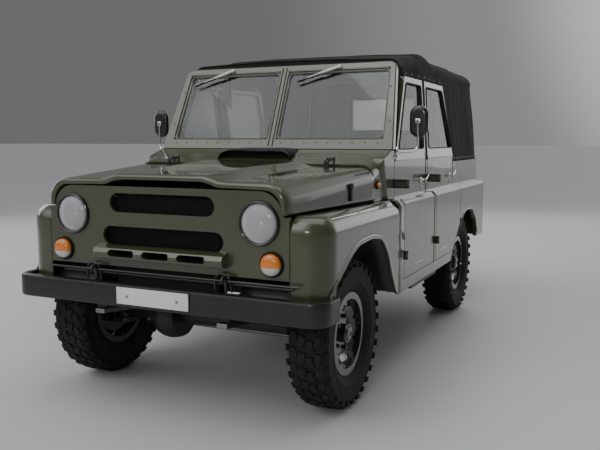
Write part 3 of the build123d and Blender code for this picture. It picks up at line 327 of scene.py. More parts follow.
class Shape:
    """Collects rounded blocks, turned parts, swept tubes and curved sheets in one mesh."""

    def __init__(self):
        self.bm = bmesh.new()

    def grid(self, rows, closed=False):
        """Quads between rows of points; closed joins each row's last point to its first."""
        made = [[self.bm.verts.new(point) for point in row] for row in rows]
        count = len(rows[0])
        for near, far in zip(made, made[1:]):
            for i in range(count if closed else count - 1):
                j = (i + 1) % count
                self.bm.faces.new((near[i], near[j], far[j], far[i]))
        return made

    def cap(self, ring):
        if len(ring) > 2:
            self.bm.faces.new(ring)

    def loft(self, rows):
        """Rings joined one to the next, with both ends capped."""
        made = self.grid(rows, closed=True)
        self.cap(made[0])
        self.cap(made[-1])

    def turned(self, profile, centre, axis=(1, 0, 0), steps=40, ends=True):
        """A part turned about axis; profile points are (radius, offset along axis)."""
        along = Vector(axis).normalized()
        across = along.orthogonal().normalized()
        up = along.cross(across)
        rows = []
        for radius, offset in profile:
            middle, radius = Vector(centre) + along * offset, max(radius, least_radius)
            rows.append([middle + (across * c + up * s) * radius for c, s in circle(steps)])
        if ends:
            self.loft(rows)
        else:
            self.grid(rows, closed=True)

    def sweep(self, points, radius, sides=10, closed=False):
        """A round tube along a line of points."""
        path = [Vector(point) for point in points]
        count = len(path)
        normal = None
        rows = []
        for i, point in enumerate(path):
            if closed:
                along = (path[(i + 1) % count] - path[i - 1]).normalized()
            else:
                along = (path[min(i + 1, count - 1)] - path[max(i - 1, 0)]).normalized()
            if normal is None:
                normal = along.orthogonal().normalized()
            normal = (normal - along * normal.dot(along)).normalized()
            other = along.cross(normal)
            rows.append([point + (normal * c + other * s) * radius for c, s in circle(sides)])
        if closed:
            self.grid(rows + [rows[0]], closed=True)
        else:
            self.loft(rows)

    def block(self, low, high, edge=0.002, turn=None, segments=2):
        """A block with rounded edges; turn is a matrix applied about its centre."""
        low, high = Vector(low), Vector(high)
        size, centre = high - low, (low + high) / 2
        cube = bmesh.new()
        bmesh.ops.create_cube(cube, size=1.0, matrix=Matrix.Diagonal((*size, 1)))
        edge = min(edge, min(abs(c) for c in size) * 0.45)
        bmesh.ops.bevel(cube, geom=cube.edges[:], offset=edge, segments=segments, affect="EDGES", profile=0.5)
        if turn is not None:
            cube.transform(turn.to_4x4())
        cube.transform(Matrix.Translation(centre))
        self.take(cube)

    def take(self, other):
        mesh = bpy.data.meshes.new("part")
        other.to_mesh(mesh)
        other.free()
        self.bm.from_mesh(mesh)
        bpy.data.meshes.remove(mesh)

    def to_side(self, sign):
        """Moves a shape made for the left side to the right side if sign is -1."""
        if sign < 0:
            self.bm.transform(Matrix.Diagonal((-1, 1, 1, 1)))
            bmesh.ops.reverse_faces(self.bm, faces=self.bm.faces)

    def mesh(self, name, recalc=True):
        """The finished mesh; nothing can be added to the shape after it."""
        if recalc:
            bmesh.ops.recalc_face_normals(self.bm, faces=self.bm.faces)
        mesh = bpy.data.meshes.new(name)
        self.bm.to_mesh(mesh)
        self.bm.free()
        return mesh

    def piece(self, name, made, body, slot, sharp=38, thick=0.0, recalc=True, place=None):
        """The finished object, smooth shaded up to the sharp angle, riding on body."""
        return piece_from(name, self.mesh(name, recalc), made, body, sharp, thick, place)


def piece_from(name, mesh, made, body, sharp=38, thick=0.0, place=None):
    """An object of mesh in one material, or several, that rides on body."""
    if not mesh.materials:
        for each in made if isinstance(made, (list, tuple)) else [made]:
            mesh.materials.append(each)
    mesh.shade_smooth()
    mesh.set_sharp_from_angle(angle=radians(sharp))
    piece = bpy.data.objects.new(name, mesh)
    bpy.context.collection.objects.link(piece)
    if place is not None:
        piece.matrix_world = place
    if thick:
        shell = piece.modifiers.new("sheet_metal", "SOLIDIFY")
        shell.thickness = thick
        shell.offset = -1
    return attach(piece, body)


def smooth(share):
    share = min(max(share, 0.0), 1.0)
    return share * share * (3 - 2 * share)


def along_line(points, value, window=0.0):
    """Height of a broken line at value; a window rounds its corners."""
    def plain(v):
        if v <= points[0][0]:
            return points[0][1]
        for (a, za), (b, zb) in zip(points, points[1:]):
            if v <= b:
                return lerp(za, zb, (v - a) / (b - a))
        return points[-1][1]
    if not window:
        return plain(value)
    reach = 4
    return sum(plain(value + window * k / reach) for k in range(-reach, reach + 1)) / (2 * reach + 1)


def rounded_path(corners, radius, closed=True, steps=6):
    """Points along a polygon whose corners are rounded."""
    corners = [Vector(corner) for corner in corners]
    count = len(corners)
    path = []
    for i, corner in enumerate(corners):
        if not closed and i in (0, count - 1):
            path.append(corner)
            continue
        before, after = corners[i - 1] - corner, corners[(i + 1) % count] - corner
        cut = min(radius, before.length * 0.45, after.length * 0.45)
        start, end = corner + before.normalized() * cut, corner + after.normalized() * cut
        for k in range(steps + 1):
            share = k / steps
            path.append(start.lerp(corner, share).lerp(corner.lerp(end, share), share))
    return path


sides = (("left", 1), ("right", -1))


# ------------------------------------------------------------------ tyres and wheels
def tyre_mesh():
    """Cross-ply tyre about the X axis: carcass with sidewall ribs, and four rows of tread blocks."""
    shape = Shape()
    half, outer = tyre_half, tyre_radius
    carcass = [(0.1905, 0.050), (0.1905, 0.066), (0.200, 0.069), (0.214, 0.070), (0.222, 0.080),
               (0.244, 0.0935),
               (0.262, 0.0985), (0.266, 0.1005), (0.270, 0.0995), (0.300, 0.1022), (0.330, 0.1018),
               (0.334, 0.1025), (0.340, 0.1010), (0.356, 0.0945), (0.366, 0.082), (0.369, 0.060),
               (0.370, 0.020)]
    profile = carcass + [(r, -d) for r, d in reversed(carcass)]
    shape.turned(profile + [carcass[0]], (0, 0, 0), steps=96, ends=False)
    pitches = 30
    lug_rows = ((0.022, 0.038, 0.0, 0.62, 14), (0.064, 0.034, 0.5, 0.60, -12))
    for step in range(pitches):
        for middle, width, phase, share, slant in lug_rows:
            for sign in (1, -1):
                angle = 2 * pi * (step + phase + (0.25 if sign > 0 else 0)) / pitches
                length = 2 * pi * outer / pitches * share
                top = outer - (0.0005 if middle < 0.05 else 0.004)
                block = Shape()
                block.block((-width / 2, -length / 2, -0.013), (width / 2, length / 2, 0.0), 0.0022, None, 1)
                block.bm.transform(Matrix.Translation((sign * middle, 0, 0)))
                place = Matrix.Rotation(radians(slant * sign), 4, "Z")
                block.bm.transform(Matrix.Translation((0, 0, top)) @ place)
                block.bm.transform(Matrix.Rotation(angle, 4, "X"))
                shape.take(block.bm)
        for sign in (1, -1):
            angle = 2 * pi * (step + 0.5 + (0.25 if sign > 0 else 0)) / pitches
            block = Shape()
            block.block((-0.006, -0.016, -0.020), (0.006, 0.016, 0.0), 0.002, None, 1)
            block.bm.transform(Matrix.Rotation(radians(-52 * sign), 4, "Y"))
            block.bm.transform(Matrix.Translation((sign * (half - 0.0075), 0, outer - 0.022)))
            block.bm.transform(Matrix.Rotation(angle, 4, "X"))
            shape.take(block.bm)
    return shape.mesh("tyre")


def hub_mesh():
    """Hub cap, wheel nuts, a ring of rivets and the valve, outwards along +X."""
    shape = Shape()
    shape.turned([(0.047, 0.060), (0.049, 0.066), (0.047, 0.070), (0.040, 0.071), (0.036, 0.078),
                  (0.014, 0.081),
                  (0.010, 0.078), (0.0, 0.078)], (0, 0, 0), steps=32)
    for step in range(5):
        angle = 2 * pi * step / 5
        centre = (0, 0.070 * cos(angle) * 1.22, 0.070 * sin(angle) * 1.22)
        shape.turned([(0.012, 0.028), (0.012, 0.034), (0.0105, 0.050), (0.008, 0.053), (0.0, 0.054)], centre,
                     steps=6)
        shape.turned([(0.016, 0.030), (0.016, 0.034), (0.013, 0.0345)], centre, steps=20)
    for step in range(16):
        angle = 2 * pi * (step + 0.5) / 16
        centre = (0, 0.112 * cos(angle), 0.112 * sin(angle))
        shape.turned([(0.005, 0.030), (0.005, 0.034), (0.003, 0.036), (0.0, 0.0365)], centre, steps=10)
    shape.sweep([(0.040, 0.168, 0.02), (0.052, 0.160, 0.02), (0.068, 0.152, 0.02)], 0.0035, 8)
    return shape.mesh("hub")


def wheels():
    tread, hub = tyre_mesh(), hub_mesh()
    places = {}
    for end, y in (("front", front_y), ("rear", rear_y)):
        for side, sign in sides:
            turn = Matrix.Rotation(0 if sign > 0 else pi, 4, "Z")
            places[end + "_" + side] = ("wheel_" + end + "_" + side,
                                        Matrix.Translation((sign * axle_x, y, axle_z)) @ turn)
    low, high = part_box("spare_tyre")
    places["spare"] = ("spare_carrier",
                       Matrix.Translation((low + high) / 2) @ Matrix.Rotation(pi / 2, 4, "Z"))
    for name, (body, place) in places.items():
        tyre = piece_from("tread_" + name, tread, tyre_rubber, body, 30, 0.0, place)
        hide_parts("spare_tyre" if name == "spare" else "tyre_" + name)
        piece_from("hub_detail_" + name, hub, wheel_paint, body, 30, 0.0, place)


wheels()


# ------------------------------------------------------------------ front wings
wing_top_z = seam_z - 0.006
bonnet_front_half, bonnet_rear_half = 0.686, 0.786
bonnet_hinge_x, bonnet_hinge_y, bonnet_hinge_z = 0.520, front_y + 0.406, 1.254
front_arch = [(-0.480, 0.560), (-0.410, 0.676), (-0.294, 0.740), (-0.172, 0.811), (-0.074, 0.847),
              (0.120, 0.857),
              (0.275, 0.834), (0.382, 0.738), (0.453, 0.605), (0.549, 0.474)]
rear_arch = [(-0.500, 0.474), (-0.430, 0.545), (-0.344, 0.600), (-0.197, 0.722), (-0.105, 0.788),
             (0.006, 0.811),
             (0.200, 0.800), (0.344, 0.707), (0.404, 0.619), (0.445, 0.552)]


def bonnet_half(y):
    return lerp(bonnet_front_half, bonnet_rear_half, (y - nose_y) / (bonnet_rear_y - nose_y))


def wing_path():
    """Plan line of a left wing from the grille to the door, as (x, y, outward x, outward y)."""
    corner, inner = 0.13, bonnet_half(nose_y) + 0.0085
    path = [(lerp(inner, wing_x - corner, k / 4), grille_y, 0, -1) for k in range(4)]
    path += [(wing_x - corner + corner * s, grille_y + corner - corner * c, s, -c) for c, s in quarter(12)]
    start, step = grille_y + corner, 0.012
    count = int((wing_rear_y - start) / step)
    return path + [(wing_x, lerp(start, wing_rear_y, k / count), 1, 0) for k in range(1, count + 1)]


def front_wing(side, sign):
    bend, lip_top, rows = 0.082, 0.028, []
    for x, y, out_x, out_y in wing_path():
        low = along_line(front_arch, y - front_y, 0.035) if y > front_y - 0.48 and out_x == 1 else 0.560
        profile = [(0.020, low + 0.004), (0.002, low + 0.0005), (-0.0035, low + 0.003),
                   (-0.0045, low + 0.010),
                   (-0.002, low + 0.018), (0.0, low + lip_top)]
        straight_top = wing_top_z - bend
        profile += [(0.0, lerp(low + lip_top, straight_top, k / 6)) for k in range(1, 7)]
        profile += [(bend * (1 - c), straight_top + bend * s) for c, s in quarter(8)[1:]]
        row = [Vector((x - out_x * d, y - out_y * d, z)) for d, z in profile]
        last = row[-1]
        seam = Vector((bonnet_half(last.y) + 0.008, last.y, wing_top_z))
        row += [last.lerp(seam, k / 3) for k in range(1, 4)]
        row.append(seam + Vector((0, 0, -0.02)))
        rows.append(row)
    shape = Shape()
    shape.grid(rows)
    shape.to_side(sign)
    wing = shape.piece("front_wing_" + side, green, "chassis", "army_green", 50, 0.002)
    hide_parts("front_wings")
    liner = Shape()
    arch = [(front_y + y, along_line(front_arch, y, 0.035) + 0.006) for y in
            evenly(-0.478, 0.545, 60)]
    splash_x = 0.412
    liner.grid([[Vector((lerp(wing_x - 0.016, splash_x, k / 6), y, z)) for k in range(7)] for y, z in arch])
    liner.grid([[Vector((splash_x, y, lerp(0.600, max(z, 0.602), k / 4))) for k in range(5)] for y,
                z in arch[6:54]])
    for rib_y in evenly(front_y - 0.30, front_y + 0.30, 4):
        liner.block((splash_x + 0.002, rib_y - 0.006, 0.64), (splash_x + 0.008, rib_y + 0.006, 0.76), 0.002)
    liner.to_side(sign)
    liner.piece("wheel_arch_liner_" + side, black_frame, "chassis", "black_frame", 40, 0.002)
    lip = Shape()
    lip.sweep([Vector((wing_x - 0.001, front_y + y, along_line(front_arch, y, 0.035) + 0.003))
               for y in evenly(-0.470, 0.545, 80)], 0.0055, 10)
    lip.to_side(sign)
    lip.piece("front_arch_lip_" + side, green, "chassis", "army_green")


for side, sign in sides:
    front_wing(side, sign)


# ------------------------------------------------------------------ bonnet
def bonnet():
    height_front, height_rear = 1.160, 1.208

    def outline(share, inset):
        half = lerp(bonnet_front_half, bonnet_rear_half, share) - inset
        top = lerp(height_front, height_rear, share) - inset
        bend = lerp(0.105, 0.072, share) - inset * 0.6
        points = []
        for k in range(15):
            across = k / 14
            raised = 0.024 * (1 - smooth((across - 0.43) / 0.16))
            points.append((across * (half - bend), top + raised + 0.006 * (1 - across * across)))
        points += [(half - bend + bend * s, top - bend + bend * c) for c, s in quarter(9)[1:]]
        points += [(half, lerp(top - bend, seam_z, k / 4)) for k in range(1, 5)]
        return [(-x, z) for x, z in reversed(points[1:])] + points

    rim = 0.027
    rows = [(nose_y + 0.042, 0, rim + 0.003), (nose_y + 0.012, 0, rim + 0.003),
            (nose_y + 0.003, 0, rim + 0.0005),
            (nose_y, 0, rim - 0.003), (nose_y, 0, 0.013), (nose_y + 0.0035, 0, 0.004),
            (nose_y + 0.013, 0, 0.0)]
    length = bonnet_rear_y - nose_y
    rows += [(lerp(nose_y + 0.013, bonnet_rear_y - 0.006, k / 34), None, 0.0) for k in range(1, 35)]
    rows += [(bonnet_rear_y - 0.001, None, 0.004), (bonnet_rear_y, None, 0.014)]
    shape = Shape()
    lines = []
    for y, share, inset in rows:
        share = (y - nose_y) / length if share is None else share
        lines.append([Vector((x, y, z)) for x, z in outline(share, inset)])
    shape.grid(lines)
    lid = shape.piece("bonnet_skin", green, "bonnet", "army_green", 50, 0.0015)
    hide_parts("bonnet")

    fittings = Shape()
    for sign in (1, -1):
        hinge_x, hinge_y, hinge_z = sign * bonnet_hinge_x, bonnet_hinge_y, bonnet_hinge_z
        fittings.turned([(0.0085, -0.0115), (0.009, -0.0105), (0.009, 0.0105), (0.0085, 0.0115)],
                        (hinge_x, hinge_y, hinge_z), (1, 0, 0), 20)
        x0, x1 = hinge_x - 0.012, hinge_x + 0.012
        fittings.block((x0, hinge_y - 0.070, 1.2395), (x1, hinge_y - 0.004, 1.2455), 0.002)
        fittings.block((x0, hinge_y - 0.073, 1.206), (x1, hinge_y - 0.065, 1.2455), 0.002)
        fittings.block((x0, hinge_y - 0.009, 1.240), (x1, hinge_y - 0.002, 1.256), 0.002)
    fittings.piece("bonnet_hinge_arms", black_gloss, "bonnet", "black_steel")
    strap = Shape()
    latch_y = front_y + 0.108
    half_there = bonnet_half(latch_y)
    for sign in (1, -1):
        x = sign * (half_there + 0.004)
        strap.block((x - 0.005, latch_y - 0.014, 1.045), (x + 0.005, latch_y + 0.014, 1.128), 0.004)
        strap.block((x - 0.009, latch_y - 0.020, 1.105), (x + 0.009, latch_y + 0.020, 1.135), 0.006)
    strap.piece("bonnet_latches", seal_rubber, "bonnet", "black_plastic")


bonnet()


# ------------------------------------------------------------------ grille screen and lamps
lamp_y = grille_y


def grille_screen():
    """Wire screen behind the cooling slots, in front of the radiator."""
    shape = Shape()
    y = grille_y + 0.030
    for x in evenly(-0.36, 0.36, 72):
        shape.block((x - 0.0014, y, 0.765), (x + 0.0014, y + 0.003, 1.105), 0.0005, None, 1)
    for z in evenly(0.770, 1.100, 29):
        shape.block((-0.362, y + 0.003, z - 0.0014), (0.362, y + 0.006, z + 0.0014), 0.0005, None, 1)
    shape.block((-0.375, y + 0.001, 0.755), (0.375, y + 0.008, 0.765), 0.002)
    shape.block((-0.375, y + 0.001, 1.104), (0.375, y + 0.008, 1.114), 0.002)
    shape.piece("grille_screen", shadow_black, "chassis", "black_frame")


def headlamp(side, sign):
    x, z, radius = sign * 0.543, 0.980, 0.1035
    rim = Shape()
    rim.turned([(0.1035, 0.018), (radius, -0.004), (0.1015, -0.012), (0.0975, -0.0145), (0.0925, -0.012),
                (0.0915, -0.004), (0.0915, 0.010), (0.088, 0.018), (0.088, 0.085), (0.060, 0.095),
                (0.0, 0.097)],
               (x, lamp_y, z), (0, 1, 0), 64)
    rim.piece("headlamp_rim_" + side, black_gloss, "chassis", "black_steel")
    bowl = Shape()
    bowl.turned([(0.0905, 0.002), (0.086, 0.012), (0.074, 0.030), (0.056, 0.046), (0.036, 0.056),
                 (0.018, 0.060)],
                (x, lamp_y, z), (0, 1, 0), 96, ends=False)
    for vert in bowl.bm.verts:
        flute = 0.0022 * cos(24 * atan2(vert.co.z - z, vert.co.x - x))
        vert.co.y += flute * min(hypot(vert.co.z - z, vert.co.x - x) / 0.08, 1.0)
    bowl.turned([(0.018, 0.060), (0.015, 0.040), (0.014, 0.024), (0.009, 0.018), (0.0, 0.017)],
                (x, lamp_y, z), (0, 1, 0), 32, ends=False)
    bowl.piece("headlamp_reflector_" + side, mirror_silver, "chassis", "chrome_trim", recalc=False)
    cover = Shape()
    outer = [(0.0912, -0.004), (0.089, -0.0085), (0.080, -0.015), (0.064, -0.0215), (0.044, -0.026),
             (0.022, -0.0285), (0.0004, -0.029)]
    inner = [(r * 0.97, bulge + 0.004) for r, bulge in reversed(outer)]
    # The lens's near-white colour is a painted reflection of the bright reflector behind clear glass.
    cover.turned(outer + inner + [outer[0]], (x, lamp_y, z), (0, 1, 0), 72, ends=False)
    return cover.piece("headlamp_lens_" + side, lamp_glass, "chassis", "lamp_glass")


def indicator(side, sign):
    x, z = sign * 0.607, 0.796
    rim = Shape()
    rim.turned([(0.0600, 0.003), (0.0600, -0.010), (0.0570, -0.0145), (0.0530, -0.013), (0.0510, -0.004)],
               (x, lamp_y, z), (0, 1, 0), 48)
    rim.piece("indicator_rim_" + side, seal_rubber, "chassis", "black_plastic")
    dome = Shape()
    dome.turned([(0.0512, -0.004), (0.0512, -0.014), (0.0500, -0.022), (0.0450, -0.0290), (0.036, -0.0340),
                 (0.020, -0.0370), (0.0004, -0.038)], (x, lamp_y, z), (0, 1, 0), 56)
    bmesh.ops.bisect_plane(dome.bm, geom=dome.bm.verts[:] + dome.bm.edges[:] + dome.bm.faces[:],
                           plane_co=(x, lamp_y, z - 0.012), plane_no=(0, 0, 1))
    piece = dome.piece("indicator_lens_" + side, [amber, white_lens], "chassis", "lamp_glass")
    for face in piece.data.polygons:
        face.material_index = 1 if face.center.z < z - 0.012 else 0


def side_and_tail_lamps():
    for side, sign in sides:
        y, z = front_y + 0.448, 1.108
        cup = Shape()
        cup.turned([(0.0225, 0.0005), (0.0225, 0.006), (0.019, 0.009), (0.0165, 0.007)], (sign * 0.780, y, z),
                   (sign, 0, 0), 32)
        cup.piece("repeater_cup_" + side, seal_rubber, "chassis", "black_plastic")
        bead = Shape()
        bead.turned([(0.0165, 0.006), (0.0160, 0.014), (0.013, 0.0195), (0.007, 0.0215), (0.0003, 0.022)],
                    (sign * 0.780, y, z), (sign, 0, 0), 32)
        bead.piece("repeater_lens_" + side, amber, "chassis", "lamp_glass")
        for z, lens_material, name in ((0.900, red_lens, "stop"), (0.790, amber, "turn")):
            base = Shape()
            place = (sign * 0.735, rear_panel_y, z)
            base.turned([(0.042, 0.0005), (0.042, 0.014), (0.039, 0.018), (0.036, 0.016)], place, (0, 1, 0),
                        40)
            base.piece("tail_" + name + "_base_" + side, black_gloss, "chassis", "black_steel")
            bead = Shape()
            bead.turned([(0.036, 0.012), (0.0355, 0.024), (0.031, 0.032), (0.020, 0.0365), (0.0003, 0.038)],
                        place,
                        (0, 1, 0), 40)
            bead.piece("tail_" + name + "_lens_" + side, lens_material, "chassis", "lamp_glass")


grille_screen()
for side, sign in sides:
    lamp_lens = headlamp(side, sign)
    indicator(side, sign)
    if sign > 0:
        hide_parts("lamps")
side_and_tail_lamps()


# ------------------------------------------------------------------ bumpers, plate and tow gear
def bumpers():
    bumper_half, z0, z1, corner = 0.897, 0.537, 0.652, 0.095
    end_y = front_y - 0.378
    path = []
    for k in range(6):
        path.append((bumper_half, lerp(end_y, bumper_y + corner, k / 6), 1, 0))
    corner_x, corner_y = bumper_half - corner, bumper_y + corner
    path += [(corner_x + corner * c, corner_y - corner * s, c, -s) for c, s in quarter(10)]
    path += [(lerp(bumper_half - corner, 0, k / 8), bumper_y, 0, -1) for k in range(1, 9)]
    path += [(-x, y, -ox, oy) for x, y, ox, oy in reversed(path[:-1])]
    lips = [(0.046, z1 - 0.012), (0.0475, z1 - 0.003), (0.044, z1), (0.012, z1), (0.0035, z1 - 0.0035),
            (0, z1 - 0.012),
            (0.0, z1 - 0.040), (0.0, z0 + 0.040), (0, z0 + 0.012), (0.0035, z0 + 0.0035), (0.012, z0),
            (0.044, z0),
            (0.0475, z0 + 0.003), (0.046, z0 + 0.012)]
    rail = Shape()
    rail.grid([[Vector((x - ox * d, y - oy * d, z)) for d, z in lips] for x, y, ox, oy in path])
    front = rail.piece("front_bumper", bumper_black, "chassis", "black_steel", 45, 0.004)
    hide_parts("bumpers")

    gear = Shape()
    for x in (-0.38, 0.38):
        gear.block((x - 0.022, bumper_y + 0.005, 0.545), (x + 0.022, grille_y + 0.03, 0.601), 0.004)
        hook = [(x, -1.960, 0.652), (x, -1.962, 0.700), (x, -1.972, 0.722), (x, -1.985, 0.727),
                (x, -1.996, 0.717),
                (x, -1.998, 0.700)]
        gear.sweep(rounded_path(hook, 0.02, closed=False), 0.0085, 12)
        loop = [(x - 0.062, -1.955, 0.655), (x - 0.062, -1.955, 0.716), (x - 0.030, -1.955, 0.742),
                (x + 0.012, -1.955, 0.730), (x + 0.030, -1.955, 0.655)]
        gear.sweep(rounded_path(loop, 0.03, closed=False), 0.0055, 10)
    for y, z, x0, x1 in ((-1.968, 0.7075, -0.66, 0.76), (-1.945, 0.690, -0.60, 0.72)):
        gear.sweep([(lerp(x0, x1, k / 12), y, z) for k in range(13)], 0.0055, 10)
    gear.piece("tow_hooks_and_rods", black_gloss, "chassis", "black_steel")

    rear = Shape()
    for sign in (1, -1):
        a, b = sorted((sign * 0.560, sign * 0.800))
        rear.block((a, rear_panel_y + 0.022, 0.520), (b, rear_panel_y + 0.052, 0.640), 0.009, None, 3)
        a, b = sorted((sign * 0.600, sign * 0.640))
        rear.block((a, rear_panel_y + 0.0005, 0.555), (b, rear_panel_y + 0.024, 0.620), 0.003)
        for z in (0.560, 0.600):
            rear.turned([(0.010, 0.051), (0.010, 0.056), (0.006, 0.059), (0.0, 0.0595)],
                        (sign * 0.620, rear_panel_y, z),
                        (0, 1, 0), 6)
    end = rear_panel_y - 0.0395
    hitch = [(0.013, -0.030), (0.034, -0.030), (0.036, -0.026), (0.036, 0.026), (0.034, 0.030),
             (0.013, 0.030)]
    rear.turned(hitch + [hitch[0]], (0, 1.6643, 0.535), (0, 0, 1), 36, ends=False)
    rear.block((-0.034, end, 0.508), (0.034, end + 0.010, 0.562), 0.003)
    rear.block((-0.020, end + 0.004, 0.515), (0.020, 1.6643 - 0.030, 0.555), 0.003)
    rear.piece("rear_bumpers_and_hitch", black_gloss, "chassis", "black_steel")

    plate_x, plate_z0, plate_z1, y = 0.209, 0.556, 0.640, bumper_y - 0.0045
    frame_shape = Shape()
    frame_shape.block((-plate_x - 0.004, y, plate_z0 - 0.004),
                      (plate_x + 0.004, bumper_y + 0.0005, plate_z1 + 0.004), 0.002)
    frame_shape.piece("plate_holder", black_plastic, "chassis", "black_plastic")
    plate = Shape()
    plate.block((-plate_x, y - 0.0018, plate_z0), (plate_x, y + 0.0004, plate_z1), 0.0009)
    rim = rounded_path([(-plate_x + 0.005, y - 0.0018, plate_z0 + 0.005),
                        (plate_x - 0.005, y - 0.0018, plate_z0 + 0.005),
                        (plate_x - 0.005, y - 0.0018, plate_z1 - 0.005),
                        (-plate_x + 0.005, y - 0.0018, plate_z1 - 0.005)], 0.008)
    plate.sweep(rim, 0.0011, 6, closed=True)
    plate.piece("blank_plate", plate_white, "chassis", "black_plastic")
    bolts = Shape()
    for sign in (1, -1):
        bolts.turned([(0.0075, 0.0), (0.0075, -0.003), (0.005, -0.0045), (0.0, -0.0048)],
                     (sign * 0.145, y - 0.0012, 0.597),
                     (0, 1, 0), 16)
    bolts.piece("plate_bolts", bare_steel, "chassis", "bare_steel")


bumpers()


# ------------------------------------------------------------------ canvas hood
hood_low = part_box("soft_top")[0]
hood_edge_z, hood_top_z, hood_rear_y = 1.751, 1.900, 1.658
opening_y, opening_top_y, opening_bend_z = 0.714, 0.487, 1.229
screen_foot_y, screen_foot_z, screen_rake = front_y + 0.688, 1.300, 0.451
bows_y = (-0.047, 0.805, 1.437)
roof_line = [(-0.473, 1.848), (0.112, 1.945), (0.272, 1.908), (1.552, 1.900)]


def canvas_point(x, y, z):
    """Folds a straight box (x from -1 to 1, z up to 1.9) into the hood's real shape."""
    top, rear, half, bend = hood_top_z, hood_rear_y, 0.765, 0.085
    p = Vector((x * half, y, z))
    inner = Vector((min(max(p.x, bend - half), half - bend), min(y, rear - bend), min(z, top - bend)))
    out = p - inner
    if out.length > bend:
        p = inner + out.normalized() * bend
    roof_share = smooth((p.z - hood_edge_z) / 0.11)
    across = p.x / half
    crown = 0.012 * (1 - across * across)
    tall = p.z + (along_line(roof_line, p.y, 0.05) - top + crown) * roof_share
    wide = across * (side_x(min(tall, 1.86)) - 0.008)
    back_share = smooth((p.y - (rear - 0.45)) / 0.45)
    back = p.y - 0.082 * back_share * (p.z - 1.195) / 0.65
    spans = (hood_low.y,) + bows_y + (rear + 0.1,)
    sag = 0.0
    for a, b in zip(spans, spans[1:]):
        if a <= p.y <= b:
            sag = sin(pi * (p.y - a) / (b - a)) ** 2
    top_share = smooth((p.z - (top - bend * 1.2)) / (bend * 0.6))
    fold = noise.noise(Vector((p.x * 2.2, p.y * 3.0, p.z * 3.0))) * 0.006
    fold += noise.noise(Vector((p.x * 7.0, p.y * 9.0, p.z * 5.0 + 4.0))) * 0.0028
    tuck = (1 - top_share) * (0.005 * sag + 0.0010 * sin(p.y * 31 + p.z * 9 + 2 * sin(p.y * 7)))
    side_share = smooth((abs(across) - 0.8) / 0.2) * (1 - top_share)
    in_x = (tuck - fold) * side_share * (1 if across < 0 else -1)
    in_z = (fold - 0.011 * sag * (1 - across * across)) * top_share
    in_y = fold * back_share * (1 - top_share) * (1 - side_share)
    return Vector((wide + in_x, back + in_y, tall + in_z))


def door_line(z):
    """Rear edge of the door opening in the canvas."""
    rise = (z - opening_bend_z) / (hood_edge_z - opening_bend_z)
    return lerp(opening_y, opening_top_y, min(max(rise, 0.0), 1.0))


hood_stud = [(0.009, -0.001), (0.009, 0.002), (0.006, 0.0045), (0.0, 0.005)]


